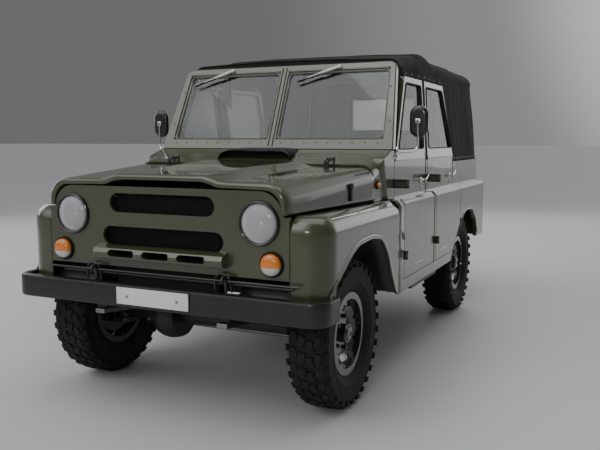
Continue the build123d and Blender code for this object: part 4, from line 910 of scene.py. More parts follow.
def hood():
    bottom, door_top, top, rear = hood_low.z + 0.001, hood_edge_z, hood_top_z, hood_rear_y
    low_z = evenly(bottom, door_top, 22)[:-1]
    high_z = evenly(door_top, top, 8)
    across = evenly(-1, 1, 60)
    fore = evenly(hood_low.y, door_line(door_top), 36)
    shares = [k / 44 for k in range(45)]
    aft_top = [lerp(door_line(top), rear, s) for s in shares]
    shape = Shape()
    window_x, window_z = 0.48, (1.44, 1.72)

    def sheet_of(rows):
        shape.grid([[canvas_point(*point) for point in row] for row in rows])

    for sign in (1, -1):
        sheet_of([[(sign, lerp(door_line(z), rear, s), z) for s in shares] for z in low_z + high_z[:1]])
        sheet_of([[(sign, lerp(door_line(z), rear, s), z) for s in shares] for z in high_z])
        sheet_of([[(sign, y, z) for y in fore] for z in high_z])
    sheet_of([[(x, y, top) for x in across] for y in fore + aft_top[1:]])
    mouth = [(-1, z) for z in high_z[:-1]] + [(x, top) for x in across]
    mouth += [(1, z) for z in reversed(high_z[:-1])]
    back_row = [canvas_point(x, hood_low.y, z) for x, z in mouth]
    rail_row = []
    for point in back_row:
        rail_z = min(point.z, 1.817) - 0.003
        rail_x = min(abs(point.x), 0.733) * (1 if point.x > 0 else -1)
        rail_row.append(Vector((rail_x, screen_foot_y + screen_rake * (rail_z - screen_foot_z) + 0.026,
                                rail_z)))
    shape.grid([[a.lerp(b, k / 4) for a, b in zip(back_row, rail_row)] for k in range(5)])
    columns = low_z + high_z
    for z0, z1 in zip(columns, columns[1:]):
        for x0, x1 in zip(across, across[1:]):
            middle_x, middle_z = abs(x0 + x1) / 2, (z0 + z1) / 2
            if middle_x < window_x and window_z[0] < middle_z < window_z[1]:
                continue
            sheet_of([[(x0, rear, z0), (x1, rear, z0)], [(x0, rear, z1), (x1, rear, z1)]])
    bmesh.ops.remove_doubles(shape.bm, verts=shape.bm.verts, dist=0.0008)
    cover = shape.piece("canvas_hood", canvas_black, "chassis", "canvas_black", 60)
    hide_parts("soft_top")

    hems = Shape()
    for sign in (1, -1):
        line = [canvas_point(sign, y, door_top) for y in fore]
        line += [canvas_point(sign, door_line(z), z) for z in reversed(low_z)]
        line += [canvas_point(sign, lerp(opening_y, rear, s), bottom) for s in shares[1:]]
        hems.sweep(line, 0.0045, 8)
    edge = [canvas_point(x, rear, bottom) for x in across]
    hems.sweep(edge, 0.0045, 8)
    hems.sweep([canvas_point(x, hood_low.y, top) for x in across], 0.0060, 8)
    for bow in bows_y:
        for offset in (-0.012, 0.012):
            hems.sweep([canvas_point(x, bow + offset, top) + Vector((0, 0, 0.0006)) for x in across], 0.0016,
                       6)
    hem = hems.piece("hood_hems", canvas_black, "chassis", "canvas_black")

    studs = Shape()
    for sign in (1, -1):
        for k in range(10):
            place = canvas_point(sign, lerp(0.78, rear - 0.06, k / 9), bottom + 0.022)
            studs.turned(hood_stud, place, (sign, 0, 0), 16)
        for k in range(7):
            place = canvas_point(sign, lerp(-0.40, 0.42, k / 6), door_top + 0.018)
            studs.turned([(0.007, -0.001), (0.007, 0.002), (0.004, 0.004), (0.0, 0.0045)], place,
                         (sign, 0, 0), 16)
    for k in range(11):
        place = canvas_point(lerp(-0.9, 0.9, k / 10), rear, bottom + 0.022)
        studs.turned(hood_stud, place, (0, 1, 0), 16)
    stud_piece = studs.piece("hood_fasteners", bare_steel, "chassis", "bare_steel")

    corners = [(-window_x - 0.006, rear, 1.435), (window_x + 0.006, rear, 1.435),
               (window_x + 0.006, rear, 1.725),
               (-window_x - 0.006, rear, 1.725)]
    line = [canvas_point(*point) + Vector((0, 0.002, 0)) for point in rounded_path(corners, 0.03)]
    border = Shape()
    border.sweep(line, 0.006, 8, closed=True)
    border_piece = border.piece("rear_window_border", canvas_black, "chassis", "canvas_black")
    pane = Shape()
    pane.grid([[canvas_point(lerp(-window_x - 0.02, window_x + 0.02, i / 24), rear,
                             lerp(1.425, 1.735, j / 10))
                + Vector((0, -0.0035, 0)) for i in range(25)] for j in range(11)])
    film = pane.piece("rear_window_film", film_plastic, "chassis", "clear_glass")


hood()


# ------------------------------------------------------------------ windscreen
screen_base = Vector((0, screen_foot_y, screen_foot_z))
screen_line = Vector((0, 0.235, 0.521))
screen_up = screen_line.normalized()
screen_out = Vector((0, -screen_up.z, screen_up.y))
screen_height = screen_line.length
frame_depth = 0.025


def on_screen(x, up, out):
    """A point of the raked windscreen: up along its plane from the scuttle, out from its middle."""
    return Vector((x, 0, 0)) + screen_base + screen_up * up + screen_out * out


def windscreen():
    low, high = 0.0603, screen_height - 0.0461
    rivets = Shape()
    lips = Shape()
    gasket = Shape()
    for sign in (1, -1):
        corners = [(0.030, low), (0.730, low), (0.706, high), (0.030, high)]
        edge = rounded_path([on_screen(sign * x, up, 0) for x, up in corners], 0.035)
        outer = [point + screen_out * (frame_depth - 0.001) for point in edge]
        middle = edge[0].lerp(edge[len(edge) // 2], 0.5)
        gasket.sweep([point.lerp(middle, 0.006) + screen_out * 0.007 for point in edge], 0.0075, 8,
                     closed=True)
        gasket.sweep([point.lerp(middle, 0.006) - screen_out * 0.007 for point in edge], 0.0075, 8,
                     closed=True)
        lips.sweep([point.lerp(middle, -0.004) for point in outer], 0.0032, 8, closed=True)
        for k in range(9):
            spot = on_screen(sign * lerp(0.07, 0.70, k / 8), 0.033, frame_depth)
            rivets.turned([(0.005, -0.001), (0.005, 0.0015), (0.003, 0.003), (0.0, 0.0032)], spot, screen_out,
                          12)
        for up, x in ((0.17, 0.7535), (0.40, 0.7275)):
            spot = on_screen(sign * x, up, frame_depth)
            rivets.turned([(0.006, -0.001), (0.006, 0.002), (0.0035, 0.0036), (0.0, 0.004)], spot, screen_out,
                          12)
    gasket.piece("windscreen_gaskets", grey_seal, "chassis", "black_plastic")
    # Lips, rivets and post beads use the lighter copy of the olive paint, a painted highlight.
    lips.piece("windscreen_lips", screen_green_painted_highlight, "chassis", "army_green")
    rivets.piece("windscreen_rivets", screen_green_painted_highlight, "chassis", "army_green")
    latch = Shape()
    for sign in (1, -1):
        for x in (0.20, 0.62):
            place = on_screen(sign * x, screen_height + 0.003, -0.004)
            latch.block(place + Vector((-0.022, -0.016, -0.006)), place + Vector((0.022, 0.016, 0.004)),
                        0.003)
        foot = Vector((sign * 0.792, front_y + 0.712, 1.262))
        latch.turned([(0.016, -0.004), (0.016, 0.006), (0.011, 0.010), (0.011, 0.020), (0.008, 0.023),
                      (0.0, 0.0235)],
                     foot, (sign, 0, 0), 24)
    latch.piece("windscreen_latches", chrome, "chassis", "chrome_trim")
    centre = Shape()
    rail = [on_screen(0, lerp(0.010, screen_height - 0.020, k / 10), frame_depth + 0.002) for k in range(11)]
    centre.sweep([point + Vector((0.014, 0, 0)) for point in rail], 0.0035, 8)
    centre.sweep([point - Vector((0.014, 0, 0)) for point in rail], 0.0035, 8)
    centre.piece("windscreen_post_beads", screen_green_painted_highlight, "chassis", "army_green")


def wiper(name, pivot_x, tip_x, drop):
    """Arm hung from the top rail, thick at its pivot, with a black blade near the glass."""
    pivot_up, out = screen_height - 0.030, frame_depth + 0.014
    tip_up = pivot_up - drop
    arm = Shape()
    arm.turned([(0.013, -0.0135), (0.013, -0.004), (0.0115, 0.004), (0.006, 0.0065), (0.0, 0.007)],
               on_screen(pivot_x, pivot_up, out), screen_out, 24)
    start, end = on_screen(pivot_x, pivot_up, out), on_screen(tip_x, tip_up, out - 0.004)
    along = (end - start).normalized()
    across = along.cross(screen_out).normalized()
    rows = []
    for share, half, deep in ((0.0, 0.0095, 0.005), (0.10, 0.0105, 0.006), (0.55, 0.0085, 0.006),
                              (0.62, 0.005, 0.004),
                              (1.0, 0.0035, 0.003)):
        centre = start.lerp(end, share)
        rows.append([centre + across * half * c + screen_out * deep * s for c, s in circle(12)])
    arm.loft(rows)
    arm_piece = arm.piece("wiper_arm_" + name, wiper_paint, "chassis", "chrome_trim")
    blade = Shape()
    reach = (tip_x - pivot_x) * 0.42
    near = on_screen(tip_x - reach, tip_up + drop * 0.42, out - 0.011)
    far = on_screen(tip_x + reach * 0.75, tip_up - drop * 0.36, out - 0.011)
    blade.sweep([near.lerp(far, k / 8) + screen_out * 0.004 * sin(pi * k / 8) for k in range(9)], 0.0035, 8)
    blade.sweep([near.lerp(far, k / 8) - screen_out * 0.006 for k in range(9)], 0.0022, 6)
    for share in (0.12, 0.5, 0.88):
        clip = near.lerp(far, share)
        blade.block(clip - Vector((0.008, 0.006, 0.006)), clip + Vector((0.008, 0.006, 0.006)), 0.002)
    blade.piece("wiper_blade_" + name, seal_rubber, "chassis", "black_plastic")
    return arm_piece


cowl_front_y = front_y + 0.398
cowl_rear_y = front_y + 0.694
scuttle_low_z, scuttle_high_z, scuttle_length = 1.222, 1.298, 0.242


def scuttle_z(y):
    """Height of the sloping top of the scuttle, which goes on rising under the windscreen."""
    return lerp(scuttle_low_z, scuttle_high_z, (y - cowl_front_y) / scuttle_length)


def air_scoop():
    """Black scoop on the scuttle whose mouth faces forward, with louvres inside."""
    half, front, rear = 0.250, front_y + 0.452, front_y + 0.634
    rows = []
    for k in range(9):
        y = lerp(front, rear, k / 8)
        base = scuttle_z(y) - 0.003
        tall = lerp(0.058, 0.013, smooth(k / 8)) + 0.003
        wide = half - 0.028 * k / 8
        row = []
        for j in range(25):
            x = lerp(-1, 1, j / 24)
            lift = (1 - abs(x) ** 6) ** 0.5
            row.append(Vector((x * wide, y, base + tall * lift)))
        rows.append(row)
    shape = Shape()
    shape.grid(rows)
    scoop = shape.piece("air_scoop", black_plastic, "chassis", "black_plastic", 50, 0.004)
    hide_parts("cowl_vent")
    inside = Shape()
    base = scuttle_z(cowl_front_y + 0.080)
    for k in range(3):
        z = base + 0.004 + 0.013 * k
        inside.block((-half + 0.022, front + 0.024, z), (half - 0.022, front + 0.060, z + 0.003), 0.001,
                     Matrix.Rotation(radians(-22), 3, "X"))
    inside.block((-half + 0.010, front + 0.075, base - 0.002), (half - 0.010, front + 0.079, base + 0.036),
                 0.001)
    inside.piece("scoop_louvres", black_plastic, "chassis", "black_plastic")


arch_line = [(1.000, -0.880), (1.020, -0.889), (1.110, -0.934), (1.190, -0.966), (1.225, -0.968),
             (1.262, -0.940),
             (1.285, -0.895), (1.300, -0.820)]


def cowl():
    """Scuttle with rounded shoulders ahead of a flared arch that runs down to the mudguards."""
    top_points, arc_points, side_points = 9, 12, 22

    def section(half, bend, top):
        points = [(lerp(0, half - bend, k / top_points), top) for k in range(top_points)]
        points += [(half - bend + bend * s, top - bend + bend * c) for c, s in quarter(arc_points)]
        return points + [(half, z) for z in evenly(top - bend, ledge_z - 0.001, side_points)[1:]]

    rows = []
    for k in range(-1, 73):
        y = lerp(cowl_front_y, cowl_rear_y, max(k, 0) / 72)
        top = min(scuttle_z(y), scuttle_high_z)
        row = []
        for recessed, proud in zip(section(0.780, 0.075, top), section(side_high_x, 0.014, top)):
            share = smooth((y - along_line(arch_line, recessed[1], 0.02)) / 0.028)
            lip = 0.004 * sin(pi * share)
            x, z = lerp(recessed[0], proud[0], share), lerp(recessed[1], proud[1], share)
            if k < 0:
                x, z = x * 0.978, seam_z + (z - seam_z) * 0.90
            row.append(Vector((x + lip * min(x / 0.7, 1.0), y, z)))
        rows.append([Vector((-p.x, p.y, p.z)) for p in reversed(row[1:])] + row)
    shape = Shape()
    shape.grid(rows)
    profile = [(body_half, 0.474), (body_half, 0.990), (body_half - 0.025, ledge_z),
               (side_high_x - 0.002, ledge_z)]
    path = rounded_path([(x, 0, z) for x, z in profile], 0.012, closed=False)
    post_ends = (wing_rear_y + 0.0004, door_front_y - 0.007)
    for sign in (1, -1):
        shape.grid([[Vector((sign * p.x, y, p.z)) for p in path] for y in post_ends])
    skin = shape.piece("cowl_panels", green, "chassis", "army_green", 50, 0.003)
    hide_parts("cowl")
    hinges = Shape()
    hinge_y, hinge_z = bonnet_hinge_y, bonnet_hinge_z
    for sign in (1, -1):
        x = sign * bonnet_hinge_x
        hinges.turned([(0.005, -0.026), (0.005, 0.026)], (x, hinge_y, hinge_z), (1, 0, 0), 16)
        for x0 in (x - 0.024, x + 0.0125):
            hinges.turned([(0.0085, 0.0), (0.009, 0.001), (0.009, 0.0105), (0.0085, 0.0115)],
                          (x0, hinge_y, hinge_z), (1, 0, 0), 20)
            hinges.block((x0, hinge_y + 0.002, 1.214), (x0 + 0.0115, hinge_y + 0.009, hinge_z), 0.002)
    hinges.piece("cowl_hinge_leaves", black_gloss, "chassis", "black_steel")


windscreen()
cowl()
wiper_piece = wiper("left", 0.380, 0.170, 0.070)
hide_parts("wipers")
wiper("right", -0.380, -0.590, 0.075)
air_scoop()


# ------------------------------------------------------------------ doors
door_rear_y = door_front_y + 0.672
rear_door_y = door_rear_y + 0.056
rear_door_end_y = rear_y - 0.232
frame_end_y = rear_y - 0.459
window_z0, window_z1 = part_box("front_door_left_glass")[0].z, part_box("front_door_left_glass")[1].z


def door_details(name, sign, window, handle_y, ribs):
    """Window rubbers, bead along the belt, handle with its lock, and pressed beads low on the skin."""
    seals = Shape()
    for inset, radius in ((0.001, 0.0042), (-0.031, 0.0042)):
        path = rounded_path([Vector((0, y, z)) for y, z in window], 0.028)
        seals.sweep([Vector((sign * (side_x(p.z) + inset), p.y, p.z)) for p in path], radius, 8, closed=True)
    seals.piece(name + "_window_rubber", seal_rubber, name, "black_plastic")
    bead = Shape()
    y0, y1 = window[0][0] - (0.070 if name.startswith("front") else 0.022), window[1][0] + 0.022
    bead.sweep([Vector((sign * (side_x(belt_z) - 0.0005), lerp(y0, y1, k / 8),
                        belt_z + 0.006)) for k in range(9)],
               0.0038, 8)
    for rib_y0, rib_y1, z0, z1 in ribs:
        bead.sweep([Vector((sign * (body_half - 0.0012), lerp(rib_y0, rib_y1, k / 6), lerp(z0, z1, k / 6)))
                    for k in range(7)], 0.0038, 8)
    bead.piece(name + "_beads", green, name, "army_green")
    handle = Shape()
    x, z = sign * side_high_x, 1.097
    handle.turned([(0.020, 0.0003), (0.020, 0.004), (0.016, 0.007), (0.0115, 0.009), (0.0105, 0.024),
                   (0.013, 0.027),
                   (0.013, 0.034), (0.010, 0.037), (0.0, 0.0375)], (x, handle_y, z), (sign, 0, 0), 28)
    rows = []
    for share, half, deep in ((0.0, 0.0105, 0.0050), (0.12, 0.0115, 0.0055), (0.5, 0.0090, 0.0045),
                              (0.85, 0.0095, 0.0045),
                              (0.97, 0.0075, 0.0035), (1.0, 0.0040, 0.0020)):
        bow = sign * (0.0305 + 0.004 * sin(pi * share))
        centre = Vector((x + bow, handle_y - 0.012 + 0.098 * share, z - 0.004 + 0.034 * share))
        rows.append([centre + Vector((sign * deep * s, -0.35 * half * c, half * c)) for c, s in circle(14)])
    handle.loft(rows)
    handle.turned([(0.0095, 0.0003), (0.0095, 0.004), (0.0075, 0.006), (0.003, 0.0065), (0.003, 0.005),
                   (0.0, 0.005)],
                  (x, handle_y + 0.014, z - 0.046), (sign, 0, 0), 20)
    handle.piece(name + "_handle", chrome, name, "chrome_trim")


def oblong(middle, straight_x, straight_z, radius):
    """Ring in the XZ plane: four quarter circles, apart by twice straight_x and straight_z."""
    return [middle + Vector(((straight_x if c >= 0 else -straight_x) + c * radius, 0,
                             (straight_z if s >= 0 else -straight_z) + s * radius)) for c, s in circle(48)]


def mirror_piece(side, sign):
    """Chrome arm bent up from the door frame to a black oblong head with a silvered face behind."""
    x, arm_z, head_z = body_half + 0.043, 1.286, 1.465
    base = Vector((side_x(arm_z), door_front_y + 0.038, arm_z))
    upright_y = door_front_y + 0.084
    arm = Shape()
    arm.turned([(0.020, 0.0006), (0.020, 0.005), (0.015, 0.011), (0.0105, 0.018), (0.0, 0.019)], base,
               (1, 0, 0), 24)
    arm.turned([(0.007, -0.001), (0.007, 0.004), (0.0, 0.005)], base + Vector((0.005, 0, 0.021)), (1, 0, 0),
               6)
    arm.turned([(0.007, -0.001), (0.007, 0.004), (0.0, 0.005)], base + Vector((0.005, 0, -0.021)), (1, 0, 0),
               6)
    arm.block(base + Vector((0.0006, -0.010, -0.034)), base + Vector((0.006, 0.010, 0.034)), 0.003)
    route = [base + Vector((0.012, 0, 0)), Vector((x, upright_y, arm_z)),
             Vector((x, upright_y, head_z + 0.012))]
    arm.sweep(rounded_path(route, 0.055, closed=False, steps=10), 0.0062, 12)
    arm.turned([(0.011, -0.004), (0.011, 0.014), (0.008, 0.016), (0.0, 0.0165)],
               (x, upright_y - 0.005, head_z), (0, 1, 0), 18)
    arm.block((x - 0.016, upright_y - 0.008, head_z - 0.012), (x + 0.016, upright_y + 0.008, head_z + 0.016),
              0.004)
    arm.to_side(sign)
    arm.piece("mirror_arm_" + side, chrome, "front_door_" + side, "chrome_trim")
    head = Shape()
    half_wide, half_tall, round_off = 0.056, 0.093, 0.0545
    y0, y1 = door_front_y + 0.088, door_front_y + 0.114
    rows = []
    for y, inset in ((y0, 0.030), (y0 + 0.001, 0.018), (y0 + 0.005, 0.007), (y0 + 0.011, 0.0015),
                     (y1 - 0.004, 0.0),
                     (y1 - 0.001, 0.0015), (y1, 0.004), (y1 - 0.003, 0.007)):
        middle = Vector((x, y, head_z))
        rows.append(oblong(middle, half_wide - round_off, half_tall - round_off, round_off - inset))
    made = head.grid(rows, closed=True)
    head.cap(made[0])
    head.to_side(sign)
    shell = head.piece("mirror_head_" + side, black_gloss, "front_door_" + side, "black_plastic", 40)
    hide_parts("mirror_" + side)
    face = Shape()
    ring = oblong(Vector((x, y1 - 0.003, head_z)), 0.0, half_tall - round_off, 0.0475)
    inner = [Vector((lerp(x, p.x, 0.55), y1 - 0.0022, lerp(head_z, p.z, 0.55))) for p in ring]
    made = face.grid([ring, inner], closed=True)
    face.cap(made[1])
    face.to_side(sign)
    face.piece("mirror_glass_" + side, mirror_silver, "front_door_" + side, "chrome_trim", 60, 0.0, False)


front_window = [(door_front_y + 0.090, window_z0), (door_rear_y - 0.034, window_z0),
                (door_rear_y - 0.034, window_z1),
                (door_front_y + 0.310, window_z1)]
rear_window = [(rear_door_y + 0.034, window_z0), (rear_door_end_y - 0.038, window_z0),
               (frame_end_y - 0.029, window_z1),
               (rear_door_y + 0.034, window_z1)]
for side, sign in sides:
    door_details("front_door_" + side, sign, front_window, door_rear_y - 0.109,
                 [(door_front_y + 0.21, door_front_y + 0.42, 0.600, 0.600)])
    door_details("rear_door_" + side, sign, rear_window, rear_door_end_y - 0.112,
                 [(rear_door_y + 0.10, rear_door_y + 0.30, 0.600, 0.600)])
    mirror_piece(side, sign)


def pillar_flaps():
    """Canvas flaps buttoned over the posts between the door frames."""
    for side, sign in sides:
        shape = Shape()
        rows = []
        for z in evenly(belt_z + 0.004, 1.748, 18):
            row = []
            for share in (0.0, 0.2, 0.5, 0.8, 1.0):
                x = side_x(z) - 0.0035 - 0.004 * (share - 0.5) ** 2
                row.append(Vector((sign * x, lerp(door_rear_y + 0.010, rear_door_y - 0.006, share), z)))
            rows.append(row)
        shape.grid(rows)
        shape.piece("pillar_flap_" + side, canvas_black, "chassis", "canvas_black", 50, 0.002)


pillar_flaps()


def rear_arch_lips():
    """Rolled edge of each rear wheel arch."""
    for side, sign in sides:
        path = [(rear_y + y, along_line(rear_arch, y, 0.03)) for y in evenly(-0.225, 0.430, 70)]
        lip = Shape()
        lip.sweep([Vector((body_half - 0.001, y, z + 0.003)) for y, z in path], 0.0055, 10)
        lip.to_side(sign)
        lip.piece("rear_arch_lip_" + side, green, "chassis", "army_green")


rear_arch_lips()


# ------------------------------------------------------------------ tailgate and spare carrier
def tail():
    y, half, z0, z1 = rear_panel_y - 0.003, 0.5597, 0.640, 1.195
    ribs = Shape()
    frame_corners = [(-half + 0.055, y, z0 + 0.070), (half - 0.055, y, z0 + 0.070),
                     (half - 0.055, y, z1 - 0.060),
                     (-half + 0.055, y, z1 - 0.060)]
    ribs.sweep(rounded_path(frame_corners, 0.05), 0.0065, 10, closed=True)
    for x in (-0.30, -0.10, 0.10, 0.30):
        ribs.sweep([Vector((x, y - 0.001, lerp(z0 + 0.105, z1 - 0.095, k / 8))) for k in range(9)], 0.0075,
                   10)
    ribs.piece("tailgate_ribs", green, "chassis", "army_green")
    gear = Shape()
    for x in (-0.42, 0.42):
        gear.block((x - 0.045, y - 0.001, z0 - 0.006), (x + 0.045, y + 0.006, z0 + 0.050), 0.002)
        gear.turned([(0.009, -0.046), (0.010, -0.045), (0.010, 0.045), (0.009, 0.046)],
                    (x, y + 0.008, z0 - 0.004), (1, 0, 0), 18)
        for dx in (-0.028, 0.028):
            gear.turned([(0.006, 0.005), (0.006, 0.009), (0.0, 0.010)], (x + dx, y, z0 + 0.032), (0, 1, 0), 6)
    for sign in (1, -1):
        x = sign * 0.535
        gear.block((x - 0.020, y - 0.001, z1 - 0.062), (x + 0.020, y + 0.007, z1 - 0.022), 0.002)
        gear.sweep(rounded_path([(x, y + 0.008, z1 - 0.034), (x, y + 0.028, z1 - 0.030),
                                 (x - sign * 0.004, y + 0.030, z1 - 0.085)],
                                0.012, closed=False), 0.0055, 10)
    gear.piece("tailgate_hinges_and_latches", black_gloss, "chassis", "black_steel")
    low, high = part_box("spare_tyre")
    centre = (low + high) / 2
    hub = Shape()
    for k in range(3):
        angle = 2 * pi * k / 3 + 0.3
        place = Vector((centre.x + 0.0854 * cos(angle), centre.y + 0.040, centre.z + 0.0854 * sin(angle)))
        hub.turned([(0.015, -0.014), (0.015, -0.004), (0.013, 0.000), (0.009, 0.004), (0.0, 0.005)], place,
                   (0, 1, 0), 6)
    hub.piece("spare_wheel_nuts", bare_steel, "spare_carrier", "bare_steel")


tail()


# ------------------------------------------------------------------ seats
seat_y = door_front_y + 0.330
seat_low, seat_high = 0.8203, 0.930
bench_y = rear_y - 0.560
seat_lean = 120 / 530


def cushion_form(width, length, height, crown, wall_in=0.010):
    """Closed cushion about its own middle: crowned top, flat base, sides that pull in between the corners."""
    spots = evenly(-1, 1, 16)
    shape = Shape()

    def point(u, v, top):
        pull = wall_in * (1 - u ** 4) * abs(v) ** 5
        pull_x = wall_in * (1 - v ** 4) * abs(u) ** 5
        x = u * (width / 2 - 0.006) - (pull_x if u > 0 else -pull_x)
        y = v * (length / 2 - 0.006) - (pull if v > 0 else -pull)
        rise = crown * (1 - u * u) ** 0.6 * (1 - v * v) ** 0.6
        edge = 0.016 * max(abs(u), abs(v)) ** 12
        return Vector((x, y, height / 2 - crown + rise - edge if top else -height / 2 + edge * 0.6))

    for top in (True, False):
        shape.grid([[point(u, v, top) for u in spots] for v in spots])
    rim = [(u, -1) for u in spots[:-1]] + [(1, v) for v in spots[:-1]]
    rim += [(u, 1) for u in reversed(spots[1:])] + [(-1, v) for v in reversed(spots[1:])]
    walls = []
    for share in (0.0, 0.2, 0.4, 0.6, 0.8, 1.0):
        belly = 1 + 0.012 * sin(pi * share)
        ring = []
        for u, v in rim:
            upper, lower = point(u, v, True), point(u, v, False)
            middle = upper.lerp(lower, share)
            ring.append(Vector((middle.x * belly, middle.y * belly, middle.z)))
        walls.append(ring)
    shape.grid(walls, closed=True)
    bmesh.ops.remove_doubles(shape.bm, verts=shape.bm.verts, dist=0.0006)
    return shape


def puffed(mesh, cap):
    """The mesh remeshed finely and blown up a little by cloth pressure, no point moving further than cap.
"""
    source = bpy.data.objects.new("cushion_source", mesh)
    bpy.context.collection.objects.link(source)
    remesh = source.modifiers.new("remesh", "REMESH")
    remesh.mode = "VOXEL"
    remesh.voxel_size = cushion_voxel
    bpy.context.view_layer.update()
    fine = bpy.data.meshes.new_from_object(source.evaluated_get(bpy.context.evaluated_depsgraph_get()))
    bpy.data.objects.remove(source)
    swollen = bpy.data.objects.new("cushion_cloth", fine)
    bpy.context.collection.objects.link(swollen)
    cloth = swollen.modifiers.new("cloth", "CLOTH")
    cloth.settings.use_pressure = True
    cloth.settings.uniform_pressure_force = 4.0
    cloth.settings.effector_weights.gravity = 0.0
    cloth.settings.quality = 5
    cloth.point_cache.frame_start, cloth.point_cache.frame_end = 1, cloth_frames
    for step in range(1, cloth_frames + 1):
        bpy.context.scene.frame_set(step)
    result = bpy.data.meshes.new_from_object(swollen.evaluated_get(bpy.context.evaluated_depsgraph_get()))
    start = [vert.co.copy() for vert in fine.vertices]
    for vert, before in zip(result.vertices, start):
        move = vert.co - before
        if move.length > cap:
            vert.co = before + move * (cap / move.length)
    bpy.data.objects.remove(swollen)
    bpy.context.scene.frame_set(1)
    return result


cushion_voxel, quick_voxel = 0.006, 0.010
cloth_frames = 20
cushion_cap = 0.006
cushion_crown = 0.020
swell_room = 0.011
groove_half, groove_depth = 0.008, 0.007
waist_half, waist_depth = 0.004, 0.003
channel_end = 0.055


def cushion(name, width, length, height, place, channels, replaces=None):
    """A padded cushion with sewn channels across its top and a piped seam round its crown."""
    form = cushion_form(width - 2 * swell_room, length - 2 * swell_room, height - 0.010, cushion_crown)
    mesh = puffed(form.mesh(name), cushion_cap)
    top = max(vert.co.z for vert in mesh.vertices)
    low = -height / 2
    for vert in mesh.vertices:
        co = vert.co
        on_top = smooth((co.z - (top - 0.030)) / 0.020)
        inside_u = 1 - smooth((abs(co.x) - (width / 2 - channel_end)) / 0.02)
        inside_v = 1 - smooth((abs(co.y) - (length / 2 - channel_end)) / 0.02)
        groove = 0.0
        for channel in channels:
            groove += exp(-((co.x - channel) / groove_half) ** 2)
        seam = abs(co.z - (top - 0.030))
        waist = waist_depth * exp(-(seam / waist_half) ** 2)
        co.z -= groove_depth * min(groove, 1.0) * on_top * inside_v * (0.4 + 0.6 * inside_u)
        co.z += 0.0016 * noise.noise(Vector((co.x * 9, co.y * 9, 3.0))) * on_top
        co.x *= 1 - waist / (width / 2)
        co.y *= 1 - waist / (length / 2)
        co.z = max(co.z, low)
        co.x = min(max(co.x, -width / 2), width / 2)
        co.y = min(max(co.y, -length / 2), length / 2)
        co.z = min(co.z, height / 2)
    pad = piece_from(name, mesh, seat_vinyl, "chassis", 60, 0.0, place)
    if replaces:
        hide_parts(replaces)
    piping = Shape()
    half_w, half_l = width / 2 - 0.0115, length / 2 - 0.0115
    corners = [(-half_w, -half_l, top - 0.020), (half_w, -half_l, top - 0.020), (half_w, half_l, top - 0.020),
               (-half_w, half_l, top - 0.020)]
    piping.sweep(rounded_path(corners, 0.03), 0.0034, 8, closed=True)
    piping.piece(name + "_piping", seat_vinyl, "chassis", "seat_vinyl", 40, 0.0, True, place)
    return pad


def seats():
    tall = seat_high - seat_low
    middle_z = (seat_low + seat_high) / 2
    lean = atan2(seat_lean, 1.0)
    for side, sign in sides:
        place = Matrix.Translation((sign * 0.390, seat_y + 0.200, middle_z))
        cushion("front_seat_base_" + side, 0.450, 0.420, tall, place, (-0.13, -0.045, 0.045, 0.13),
                "seat_cushions" if sign > 0 else None)
        back_tall, thick = 0.388, 0.0925
        centre_z = 0.934 + back_tall / 2
        panel_y = seat_y + 0.420 + seat_lean * (centre_z - 0.800)
        place = (Matrix.Translation((sign * 0.390, panel_y - 0.0015 - thick / 2 / cos(lean), centre_z))
                 @ Matrix.Rotation(pi / 2 - lean, 4, "X"))
        cushion("front_seat_back_" + side, 0.450, back_tall, thick, place, (-0.13, -0.045, 0.045, 0.13))
    channels = (-0.42, -0.28, -0.14, 0.0, 0.14, 0.28, 0.42)
    place = Matrix.Translation((0, bench_y + 0.160, middle_z))
    cushion("rear_seat_base", 1.110, 0.340, tall, place, channels)
    place = Matrix.Translation((0, bench_y + 0.3758, 1.0627)) @ Matrix.Rotation(pi / 2, 4, "X")
    cushion("rear_seat_back", 1.080, 0.4745, 0.0875, place, channels)


seats()


